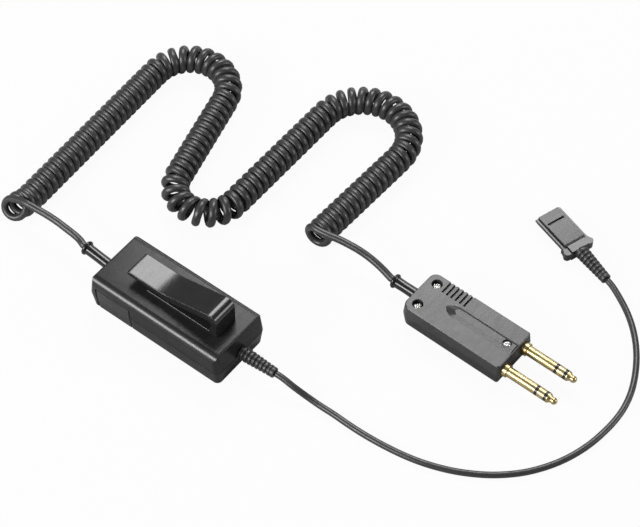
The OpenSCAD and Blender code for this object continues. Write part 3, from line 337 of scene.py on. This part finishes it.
# ------------------------------------------------------------------ strain reliefs
def lathe(name, profile, origin, axis, sides=40):
    """A profile of (way along, radius) turned round an axis. Its ends are closed."""
    axis = unit(axis)
    side = unit(np.cross(axis, [0, 0, 1]))
    up = np.cross(side, axis)
    verts = [np.asarray(origin) + x * axis + r * (side * math.cos(a) + up * math.sin(a))
             for x, r in profile for a in circle(sides)]
    return add_mesh(name, np.array(verts) * MM, tube_faces(len(profile), sides))


def arc(cx, cr, r, a0, a1, n):
    return [(cx + r * math.cos(math.radians(a0 + (a1 - a0) * i / n)),
             cr + r * math.sin(math.radians(a0 + (a1 - a0) * i / n))) for i in range(n + 1)]


def smooth_relief_profile(length):
    """A plain sleeve with a bead at its mouth, and the mouth turned in to the cord."""
    bead, r, bore = 0.75, 2.9, CORD_D / 2
    body = [(-0.3, 0.2), (-0.3, 3.3), (0, 3.3)] + arc(0.7, 3.45, 0.5, 200, 270, 4)
    body += [(1.4, 2.95), (2.6, r), (length * 0.5, r - 0.08)]
    body += [(length - 2.6, r), (length - 2.1, r + 0.1)]
    body += arc(length - 1.1, r - 0.05, bead + 0.25, 140, 40, 8)
    body += [(length - 0.15, r + 0.1), (length, r - 0.2), (length, bore + 0.25)]
    return body + [(length - 0.5, bore)]


def ribbed_profile(length, count=8, root=3.7, tip=2.7, depth=0.8):
    """Rounded rings that shrink towards the tip, grooves between them, and a plain cuff."""
    cuff = length / (count + 1)
    step = (length - cuff) / count
    groove, ring = 0.35, 0.6                 # shares of a step
    e, bore = 0.22, LINE_D / 2
    pts = [(-0.3, 0.2), (-0.3, root - 0.2), (0.05, root - 0.2)]
    for i in range(count):
        x0 = step * (i + groove)
        r = root + (tip - root) * i / count
        core = root - depth + (tip - root) * (x0 / length)
        pts += [(x0 - 0.02, core), (x0, r - e)] + arc(x0 + e, r - e, e, 180, 90, 3)[1:]
        pts += arc(x0 + step * ring - e, r - e, e, 90, 0, 3)
        pts.append((x0 + step * ring + 0.02, core - 0.03))
    x0 = length - cuff
    pts += [(x0 - 0.02, tip - depth + 0.05), (x0, tip - 0.25)]
    pts += arc(x0 + 0.25, tip - 0.25, 0.25, 180, 90, 3)[1:]
    pts += arc(length - 0.4, tip - 0.4, 0.4, 90, 0, 4)
    return pts + [(length, bore + 0.1), (length - 0.4, bore)]


case_relief = lathe("case_relief_sleeve", smooth_relief_profile(CASE_RELIEF_L), case_root, case_dir)
plug_relief = lathe("plug_relief_sleeve", smooth_relief_profile(PLUG_RELIEF_L), plug_root, -plug_dir)
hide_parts("case_cord_relief")
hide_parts("plug_cord_relief")
line_relief = lathe("case_ribbed_relief", ribbed_profile(LINE_RELIEF_L), line_root, line_dir)
quick_relief = lathe("connector_ribbed_relief", ribbed_profile(QUICK_RELIEF_L), quick_root, quick_dir)
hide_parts("line_cord_relief")
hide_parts("quick_cord_relief")


# ------------------------------------------------------------------ belt clip
CLIP_W = 14.0
RIGHT, LEFT, WALL_X = 31.7, -12.3, 27.7      # the clip's two ends, and its end wall's inner face
LEAF_TOP, PINCH_X, PINCH_Z = 23.3, 1.1, 24.6
SLOPE = math.radians(14)
ARM_T = 4.6                                  # square to the slope
ARM_H = ARM_T / math.cos(SLOPE)
FLAT_TOP = PINCH_Z + ARM_H - 0.8
TIP_X, TIP_T, TIP_R = -23.9, 2.6, 1.0
SEAM_X = 25.2                                # where the strap meets the fixed part
RIM_R, RIM_ANGLE = 0.45, 50
PINCH_R = 6                                  # the underside's curve next to the pinch
LEAF_R = 0.8


def under(x):
    return PINCH_Z + (x - PINCH_X) * math.tan(SLOPE)


def over(x):
    return under(x) + ARM_H


def line_to(points, x1, z1, step=0.8):
    x0, z0 = points[-1]
    n = max(1, int(math.hypot(x1 - x0, z1 - z0) / step))
    points += [(x0 + (x1 - x0) * i / n, z0 + (z1 - z0) * i / n) for i in range(1, n + 1)]


def slab_of(name, outline):
    """An outline in (X, Z) drawn out to the clip's width, with soft rims, open at the seam."""
    n = len(outline)
    verts = [(x, s * CLIP_W / 2, z) for s in (-1, 1) for x, z in outline]
    faces = [tuple(range(n - 1, -1, -1)), tuple(range(n, 2 * n))]
    faces += [(i, i + 1, n + i + 1, n + i) for i in range(n - 1)]
    obj = add_mesh(name, np.array(verts) * MM, faces)
    rim = obj.modifiers.new("rim", "BEVEL")
    rim.width, rim.segments = RIM_R * MM, 3
    rim.limit_method, rim.angle_limit = "ANGLE", math.radians(RIM_ANGLE)
    rim.harden_normals = True
    return obj


def strap_outline():
    """Along the strap's top to the tip, round it, and back along its underside."""
    reach = 5.4                              # the bend reaches this far each way
    bend_r = reach / math.tan(SLOPE / 2)
    bend_x = PINCH_X + (FLAT_TOP - ARM_H - PINCH_Z) / math.tan(SLOPE)
    pts = [(SEAM_X, over(SEAM_X))]
    line_to(pts, bend_x + reach * math.cos(SLOPE), FLAT_TOP + reach * math.sin(SLOPE))
    pts += arc(bend_x - reach, FLAT_TOP + bend_r, bend_r, 270 + math.degrees(SLOPE), 270, 14)[1:]
    line_to(pts, TIP_X + 1.1, FLAT_TOP)
    pts += arc(TIP_X + TIP_R, FLAT_TOP - TIP_R, TIP_R, 90, 180, 5)[1:]
    pts += arc(TIP_X + TIP_R, FLAT_TOP - TIP_T + TIP_R, TIP_R, 180, 270, 5)
    line_to(pts, PINCH_X - 6, PINCH_Z + 0.62)
    pts += [(x, PINCH_Z + PINCH_R - math.sqrt(PINCH_R ** 2 - (x - PINCH_X + 2) ** 2))
            for x in np.linspace(PINCH_X - 4, PINCH_X - 0.9, 6)]
    line_to(pts, SEAM_X, under(SEAM_X))
    return pts


FOLD = [(7.0, 80), (3.2, 55), (4.2, 25), (3.0, 0)]   # radius, and the angle it turns down to


def fixed_outline():
    """Round the fold, down the end wall, and back along the leaf."""
    turned, edge = [(0.0, 0.0)], math.degrees(SLOPE) + 90
    for r, until in FOLD:
        x0, z0 = turned[-1]
        cx, cz = x0 - r * math.cos(math.radians(edge)), z0 - r * math.sin(math.radians(edge))
        turned += arc(cx, cz, r, edge, until, 7)[1:]
        edge = until
    fold_x = RIGHT - turned[-1][0]
    bow_r = 2.6
    bow = arc(WALL_X + 0.4 - bow_r, under(24.1) - bow_r + 0.6, bow_r, 80, -50, 12)
    pts = [(SEAM_X, under(SEAM_X))] + [p for p in bow if p[0] > SEAM_X + 0.15]
    line_to(pts, WALL_X - 1, LEAF_TOP)
    line_to(pts, LEFT + 0.9, LEAF_TOP, 2.0)
    pts += arc(LEFT + LEAF_R, LEAF_TOP - LEAF_R, LEAF_R, 90, 180, 5)[1:] + [(LEFT, CASE_H)]
    line_to(pts, RIGHT, CASE_H, 2.0)
    line_to(pts, RIGHT, over(fold_x) + turned[-1][1])
    pts += [(fold_x + x, over(fold_x) + z) for x, z in turned[-2::-1]]
    return pts + [(SEAM_X, over(SEAM_X))]


clip_fixed = slab_of("clip_back", fixed_outline()[::-1])
clip_strap = slab_of("clip_strap", strap_outline())
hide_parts("clip_base")
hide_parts("clip_arm")
for piece in (case_relief, plug_relief, line_relief, quick_relief, clip_fixed):
    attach(piece, AMP)
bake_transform(clip_strap)


# ------------------------------------------------------------------ screws of the plug
HEAD_R, HEAD_T, DOME, EDGE_T = 2.2, 1.2, 0.5, 0.15
SHANK_R, SHANK_END = 1.0, 3.2
CROSS_W, CROSS_L, CROSS_DEPTH = 0.34, 1.35, 0.8
AROUND, HEAD_ROWS, HUB_R = 96, 18, 0.12
# The middle of each head's top.
SCREWS = [(91.07, 72.223, 11.87), (91.444, 87.518, 11.87), (138.843, 78.708, 14.55)]


def head_height(x, y):
    """Height over the head's rim: a low dome with a cross recess."""
    across, along = min(abs(x), abs(y)), max(abs(x), abs(y))
    sunk = ease((CROSS_W - across) / 0.12) * ease((CROSS_L - along) / 0.25)
    return DOME * (1 - (x * x + y * y) / HEAD_R ** 2) - CROSS_DEPTH * sunk


def plug_screw_set():
    verts, faces = [], []
    for cx, cy, top in SCREWS:
        base, rim = len(verts), top - DOME
        verts.append((cx, cy, rim + head_height(0, 0)))
        rows = [(r, None) for r in np.linspace(HUB_R, HEAD_R, HEAD_ROWS)]
        rows += [(HEAD_R, rim - EDGE_T), (HEAD_R, rim - HEAD_T), (SHANK_R, rim - HEAD_T)]
        rows.append((SHANK_R, SHANK_END))
        for r, z in rows:
            for j in range(AROUND):
                a = 2 * math.pi * j / AROUND
                x, y = r * math.cos(a), r * math.sin(a)
                verts.append((cx + x, cy + y, rim + head_height(x, y) if z is None else z))
        first = base + 1
        faces += [(base, first + j, first + (j + 1) % AROUND) for j in range(AROUND)]
        for i in range(len(rows) - 1):
            a, b = first + i * AROUND, first + (i + 1) * AROUND
            faces += [(a + j, b + j, b + (j + 1) % AROUND, a + (j + 1) % AROUND)
                      for j in range(AROUND)]
        end = first + (len(rows) - 1) * AROUND
        faces.append(tuple(end + j for j in range(AROUND - 1, -1, -1)))
    return add_mesh("plug_screw_set", np.array(verts) * MM, faces)


plug_screw_pieces = plug_screw_set()
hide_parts("plug_screws")
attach(plug_screw_pieces, AMP)


# ------------------------------------------------------------------ finishes
class Finish:
    """A material built of nodes. Coordinates are the row frame's, in metres."""

    def __init__(self, name, uv=False):
        self.name = name
        self.material = bpy.data.materials.new(name)
        self.material.use_nodes = True
        self.tree = self.material.node_tree
        self.shader = self.tree.nodes["Principled BSDF"]
        coords = self.tree.nodes.new("ShaderNodeTexCoord")
        self.coords = coords.outputs["UV" if uv else "Object"]

    def node(self, kind, **values):
        made = self.tree.nodes.new(kind)
        for key, value in values.items():
            if key in made.inputs:
                made.inputs[key].default_value = value
            else:
                setattr(made, key, value)
        return made

    def link(self, a, b):
        self.tree.links.new(a, b)

    def stretched(self, scale):
        mapping = self.node("ShaderNodeMapping")
        mapping.inputs["Scale"].default_value = scale
        self.link(self.coords, mapping.inputs["Vector"])
        return mapping.outputs["Vector"]

    def noise(self, scale, detail=3, rough=0.5, stretch=None, distortion=0.0):
        made = self.node("ShaderNodeTexNoise", Scale=scale, Detail=detail, Roughness=rough,
                         Distortion=distortion)
        self.link(self.stretched(stretch) if stretch else self.coords, made.inputs["Vector"])
        return made.outputs["Fac"]

    def pattern(self, kind, **values):
        """A wave or cell texture on the plain coordinates."""
        made = self.node(kind, **values)
        self.link(self.coords, made.inputs["Vector"])
        return made

    def ramp(self, value, stops):
        made = self.node("ShaderNodeValToRGB")
        elements = made.color_ramp.elements
        while len(elements) < len(stops):
            elements.new(0.5)
        for element, (at, color) in zip(elements, stops):
            element.position, element.color = at, (*color, 1)
        self.link(value, made.inputs["Fac"])
        return made.outputs["Color"]

    def spread(self, value, low, high, from_low=0.3, from_high=0.7):
        made = self.node("ShaderNodeMapRange")
        for key, number in (("From Min", from_low), ("From Max", from_high),
                            ("To Min", low), ("To Max", high)):
            made.inputs[key].default_value = number
        self.link(value, made.inputs["Value"])
        return made.outputs["Result"]

    def bump(self, height, distance, strength=1.0, after=None):
        made = self.node("ShaderNodeBump", Strength=strength, Distance=distance)
        self.link(height, made.inputs["Height"])
        if after:
            self.link(after, made.inputs["Normal"])
        return made.outputs["Normal"]

    def set(self, **values):
        for key, value in values.items():
            self.shader.inputs[key.replace("_", " ")].default_value = value

    def to(self, socket, output):
        self.link(output, self.shader.inputs[socket])


def grey(v, tint=(1, 1, 1)):
    return tuple(v * t for t in tint)


def moulded(name, dark, light, rough, swing, grain, depth, spec=0.5, tint=(1, 1, 1.02), wave=0.0):
    """Moulded plastic: eroded grain, slow mottling, a gloss that varies, and faint scuffs."""
    f = Finish(name)
    mottle = f.noise(160, 4, 0.6)
    f.to("Base Color", f.ramp(mottle, [(0.3, grey(dark, tint)), (0.7, grey(light, tint))]))
    fine = f.noise(grain, 2, 0.55)
    scuff = f.noise(420, 3, 0.7, stretch=(1, 0.22, 1), distortion=0.6)
    f.to("Roughness", f.spread(scuff, rough - swing, rough + swing))
    normal = f.bump(fine, depth)
    if wave:
        normal = f.bump(f.noise(38, 1, 0.4), wave, 1.0, normal)
    f.to("Normal", normal)
    f.set(Specular_IOR_Level=spec)
    return f


def worn_case():
    """The case's plastic, polished by handling along its two long edges."""
    f = moulded("case_plastic", 0.013, 0.019, 0.29, 0.04, 2300, 0.000016)
    split = f.node("ShaderNodeSeparateXYZ")
    f.link(f.node("ShaderNodeTexCoord").outputs["Normal"], split.inputs["Vector"])
    side = f.node("ShaderNodeMath", operation="ABSOLUTE")
    both = f.node("ShaderNodeMath", operation="MULTIPLY")
    f.link(split.outputs["Y"], side.inputs[0])
    f.link(side.outputs[0], both.inputs[0])
    f.link(split.outputs["Z"], both.inputs[1])
    f.to("Specular IOR Level", f.spread(both.outputs[0], 0.20, 0.5, 0.15, 0.45))
    return f


def cord_finish():
    """Extruded jacket: long drawn lines, a soft satin and faint mottling."""
    f = Finish("cord_jacket", uv=True)
    drawn = f.noise(1, 3, 0.6, stretch=(26, 130, 1))
    mottle = f.noise(1, 4, 0.6, stretch=(9, 420, 1))
    f.to("Base Color", f.ramp(mottle, [(0.3, grey(0.024)), (0.72, grey(0.036))]))
    f.to("Roughness", f.spread(drawn, 0.30, 0.42))
    pores = f.noise(1, 2, 0.6, stretch=(60, 1900, 1))
    f.to("Normal", f.bump(pores, 0.000012, 1.0, f.bump(drawn, 0.00002)))
    f.set(Specular_IOR_Level=0.5)
    return f


def gold_finish():
    """Plated contacts: faint tarnish and rubbed places."""
    f = Finish("prong_metal")
    tarnish = f.noise(230, 3, 0.5)
    f.to("Base Color", f.ramp(tarnish, [(0.28, (0.44, 0.34, 0.14)), (0.5, (0.52, 0.42, 0.20)),
                                        (0.75, (0.57, 0.48, 0.27))]))
    f.to("Roughness", f.spread(f.noise(140, 2, 0.5), 0.30, 0.36))
    f.set(Metallic=1.0)
    return f


def nickel_finish():
    """Plated screws: cloudy plating with a fine grain."""
    f = Finish("screw_metal")
    tarnish = f.noise(900, 4, 0.65)
    f.to("Base Color", f.ramp(tarnish, [(0.3, (0.50, 0.49, 0.47)), (0.7, (0.74, 0.73, 0.71))]))
    f.to("Roughness", f.spread(f.noise(2600, 3, 0.6), 0.2, 0.36))
    f.to("Normal", f.bump(f.noise(3400, 2, 0.5), 0.000006))
    f.set(Metallic=1.0)
    return f


def board_finish():
    """Green laminate with lighter tracks under the lacquer."""
    f = Finish("board_laminate")
    tracks = f.node("ShaderNodeTexVoronoi", feature="DISTANCE_TO_EDGE", Scale=260.0)
    f.link(f.stretched((1, 1.7, 0.01)), tracks.inputs["Vector"])
    green, copper = (0.006, 0.055, 0.022), (0.02, 0.14, 0.05)
    f.to("Base Color", f.ramp(tracks.outputs["Distance"],
                              [(0.0, copper), (0.10, copper), (0.13, green), (1.0, green)]))
    f.to("Roughness", f.spread(f.noise(900, 3, 0.6), 0.22, 0.36))
    f.to("Normal", f.bump(tracks.outputs["Distance"], 0.00003, 0.4))
    return f


def core_finish():
    """Stacked iron sheets, seen as fine lines, with a little rust."""
    f = Finish("core_iron")
    sheets = f.pattern("ShaderNodeTexWave", wave_type="BANDS", bands_direction="Y", Scale=900.0,
                       Distortion=0.3)
    rust = f.noise(700, 4, 0.7)
    f.to("Base Color", f.ramp(rust, [(0.35, (0.10, 0.095, 0.09)), (0.75, (0.20, 0.13, 0.09))]))
    f.to("Roughness", f.spread(sheets.outputs["Fac"], 0.35, 0.6, 0, 1))
    f.to("Normal", f.bump(sheets.outputs["Fac"], 0.00004, 0.8))
    f.set(Metallic=0.85)
    return f


def winding_finish():
    """Enamelled copper wire in close turns."""
    f = Finish("winding_copper")
    turns = f.pattern("ShaderNodeTexWave", wave_type="BANDS", bands_direction="Z",
                      wave_profile="SIN", Scale=1400.0, Distortion=0.4)
    f.to("Base Color", f.ramp(turns.outputs["Fac"],
                              [(0.0, (0.16, 0.045, 0.015)), (0.6, (0.62, 0.22, 0.08))]))
    f.to("Roughness", f.spread(f.noise(1200, 2), 0.25, 0.4))
    f.to("Normal", f.bump(turns.outputs["Fac"], 0.00008, 0.9))
    f.set(Metallic=0.6)
    return f


def sleeve_finish():
    """Shrink sleeve of the capacitors: dark blue, with a pale band on one side."""
    f = Finish("capacitor_sleeve")
    band = f.pattern("ShaderNodeTexWave", wave_type="BANDS", bands_direction="X", Scale=95.0)
    f.to("Base Color", f.ramp(band.outputs["Fac"],
                              [(0.0, (0.012, 0.014, 0.06)), (0.9, (0.015, 0.018, 0.075)),
                               (0.94, (0.35, 0.36, 0.38))]))
    f.to("Roughness", f.spread(f.noise(1500, 3), 0.22, 0.35))
    f.to("Normal", f.bump(f.noise(700, 2), 0.00002))
    return f


# Plastics: name, darkest and lightest grey, roughness, its swing, grain scale, grain depth.
made_finishes = [
    worn_case(),
    moulded("door_plastic", 0.016, 0.034, 0.50, 0.06, 1300, 0.00006),
    moulded("clip_plastic", 0.013, 0.017, 0.17, 0.03, 2600, 0.000002, wave=0.00012),
    # The plug's top shell gets a lighter grey than its lower shell, though both are one plastic:
    # painted light on the top.
    moulded("plug_top_plastic", 0.026, 0.037, 0.34, 0.03, 2600, 0.000012, spec=0.38),
    moulded("plug_base_plastic", 0.012, 0.018, 0.38, 0.05, 2600, 0.00002),
    moulded("quick_plastic", 0.030, 0.036, 0.37, 0.02, 1500, 0.000001),
    moulded("quick_base_plastic", 0.009, 0.013, 0.28, 0.03, 2800, 0.000003),
    moulded("relief_rubber", 0.008, 0.011, 0.20, 0.04, 1800, 0.000004),
    moulded("rib_rubber", 0.022, 0.030, 0.40, 0.06, 1800, 0.00001),
    moulded("insulator", 0.008, 0.012, 0.30, 0.05, 2400, 0.000004),
    moulded("chip_epoxy", 0.010, 0.015, 0.55, 0.06, 3000, 0.00001),
    moulded("header_nylon", 0.62, 0.70, 0.45, 0.05, 2000, 0.000006, tint=(1, 0.97, 0.88)),
    moulded("trimmer_plastic", 0.03, 0.04, 0.35, 0.05, 2400, 0.000006, tint=(0.6, 1.6, 6.5)),
    cord_finish(), gold_finish(), nickel_finish(), board_finish(), core_finish(),
    winding_finish(), sleeve_finish(),
]
finishes = {made.name: made.material for made in made_finishes}

FINISH_OF = {
    "case_plastic": ["case_bottom_cover", "case_top_cover"],
    "door_plastic": ["access_door"],
    "clip_plastic": ["clip_base", "clip_arm", clip_fixed, clip_strap],
    # The top shell's lighter grey is painted light.
    "plug_top_plastic": ["plug_upper_shell"],
    "plug_base_plastic": ["plug_lower_shell"],
    "quick_plastic": ["quick_upper_shell"],
    "quick_base_plastic": ["quick_lower_shell"],
    "relief_rubber": ["case_cord_relief", "plug_cord_relief", case_relief, plug_relief],
    "rib_rubber": ["line_cord_relief", "quick_cord_relief", line_relief, quick_relief],
    "cord_jacket": ["case_lead", "curly_cord", "plug_lead", "line_cord", main_cord, line_cord],
    "prong_metal": ["prong_sleeves", "prong_rings", "prong_tips", "quick_contacts"],
    "insulator": ["sleeve_insulators", "ring_insulators", "quick_contact_block"],
    "screw_metal": ["clip_screws", "case_screws", "plug_screws", plug_screw_pieces],
    "board_laminate": ["circuit_board"],
    "core_iron": ["transformer_core"],
    "winding_copper": ["transformer_winding"],
    "capacitor_sleeve": ["capacitors"],
    "chip_epoxy": ["amplifier_chip"],
    "header_nylon": ["wire_headers", "mic_gain_rotor", "ear_gain_rotor"],
    "trimmer_plastic": ["trimmer_bodies"],
}
for name, users in FINISH_OF.items():
    for user in users:
        obj = nodes[user] if isinstance(user, str) else user
        if not obj.material_slots:
            obj.data.materials.append(finishes[name])
        for slot in obj.material_slots:
            slot.material = finishes[name]


# ------------------------------------------------------------------ soft edges on CAD nodes
WELD_M, FLAT_ANGLE = 1e-6, 0.6               # metres and degrees
SHARP, KEEL_SHARP = 32, 13                   # degrees; the keel's slopes meet at flat angles
SOFT_EDGES = {                               # each node's rounding
    "case_top_cover": 0.25, "case_bottom_cover": 0.2, "access_door": 0.15,
    "plug_upper_shell": 0.16, "plug_lower_shell": 0.16, "quick_upper_shell": 0.15,
    "quick_lower_shell": 0.18, "transformer_core": 0.12, "capacitors": 0.25,
    "amplifier_chip": 0.1, "wire_headers": 0.15, "trimmer_bodies": 0.15,
    "mic_gain_rotor": 0.08, "ear_gain_rotor": 0.08, "clip_screws": 0.06,
    "case_screws": 0.06, "quick_contacts": 0.06, "quick_contact_block": 0.08,
    "circuit_board": 0.05, "transformer_winding": 0.2,
}


def soften(name, width, angle):
    """Welds the node's triangles, then rounds its sharp edges a little."""
    obj = nodes[name]
    custom = obj.data.attributes.get("custom_normal")
    if custom:
        obj.data.attributes.remove(custom)
    obj.data.shade_smooth()
    weld = obj.modifiers.new("weld", "WELD")
    weld.merge_threshold = WELD_M
    flat = obj.modifiers.new("flat", "DECIMATE")
    flat.decimate_type, flat.angle_limit = "DISSOLVE", math.radians(FLAT_ANGLE)
    edge = obj.modifiers.new("edge", "BEVEL")
    edge.width, edge.segments, edge.limit_method = width * MM, 2, "ANGLE"
    edge.angle_limit = math.radians(angle)
    edge.use_clamp_overlap, edge.harden_normals = True, True


for name, width in SOFT_EDGES.items():
    soften(name, width, KEEL_SHARP if name == "plug_upper_shell" else SHARP)


# ------------------------------------------------------------------ stage and light
FLOOR_HALF, FLOOR_Z, FLOOR_GREY, FLOOR_GLOW = 6, -0.00015, 0.5, 0.95
WORLD_LEVEL = 0.18
LIT_AT = Vector((0.045, 0.07, 0.0))
# Each lamp: name, direction from the object, distance, width, height, radiance.
LAMPS = [("key_back", (-0.34, 0.52, 0.78), 1.4, 0.72, 0.64, 10.5),
         ("front_left", (-0.37, -0.80, 0.47), 1.5, 1.1, 0.5, 15.0),
         ("right_back", (0.80, 0.47, 0.37), 1.5, 0.7, 0.6, 6.0),
         ("low_back", (-0.37, 0.92, 0.16), 1.7, 1.2, 0.25, 3.0)]


def stage_floor():
    """A pale floor that is near white to the camera, grey to light, and clear from below."""
    h, z = FLOOR_HALF, FLOOR_Z
    corners = [(-h, -h, z), (h, -h, z), (h, h, z), (-h, h, z)]
    floor = add_mesh("floor", corners, [(0, 1, 2, 3)], False)
    material = bpy.data.materials.new("pale_floor")
    material.use_nodes = True
    tree = material.node_tree
    tree.nodes.clear()
    new, link = tree.nodes.new, tree.links.new
    diffuse, glow = new("ShaderNodeBsdfDiffuse"), new("ShaderNodeEmission")
    mix, out = new("ShaderNodeMixShader"), new("ShaderNodeOutputMaterial")
    clear, two = new("ShaderNodeBsdfTransparent"), new("ShaderNodeMixShader")
    path, side = new("ShaderNodeLightPath"), new("ShaderNodeNewGeometry")
    share = new("ShaderNodeMath")
    diffuse.inputs["Color"].default_value = (FLOOR_GREY, FLOOR_GREY, FLOOR_GREY, 1)
    glow.inputs["Strength"].default_value = 1.0
    share.operation = "MULTIPLY"
    share.inputs[1].default_value = FLOOR_GLOW
    link(path.outputs["Is Camera Ray"], share.inputs[0])
    link(share.outputs[0], mix.inputs["Fac"])
    link(diffuse.outputs[0], mix.inputs[1])
    link(glow.outputs[0], mix.inputs[2])
    link(side.outputs["Backfacing"], two.inputs["Fac"])
    link(mix.outputs[0], two.inputs[1])
    link(clear.outputs[0], two.inputs[2])
    link(two.outputs[0], out.inputs["Surface"])
    floor.data.materials.append(material)


def world_light(level):
    """Soft light from all round, and plain white to the camera."""
    world = bpy.data.worlds.new("studio")
    scene.world = world
    world.use_nodes = True
    tree = world.node_tree
    back = tree.nodes["Background"]
    path = tree.nodes.new("ShaderNodeLightPath")
    mix = tree.nodes.new("ShaderNodeMix")
    mix.data_type = "FLOAT"
    mix.inputs["A"].default_value, mix.inputs["B"].default_value = level, 1.0
    tree.links.new(path.outputs["Is Camera Ray"], mix.inputs["Factor"])
    tree.links.new(mix.outputs["Result"], back.inputs["Strength"])
    back.inputs["Color"].default_value = (1, 1, 1, 1)


def softbox(name, toward, distance, width, height, radiance):
    """A lamp seen from the object in a direction, of a given brightness."""
    data = bpy.data.lights.new(name, "AREA")
    data.shape, data.size, data.size_y = "RECTANGLE", width, height
    data.energy = radiance * math.pi * width * height
    lamp = bpy.data.objects.new(name, data)
    scene.collection.objects.link(lamp)
    d = Vector(toward).normalized()
    lamp.location = LIT_AT + d * distance
    lamp.rotation_mode = "QUATERNION"
    lamp.rotation_quaternion = (-d).to_track_quat("-Z", "Y")


stage_floor()
world_light(WORLD_LEVEL)
for lamp_row in LAMPS:
    softbox(*lamp_row)
scene.view_settings.view_transform = "Standard"
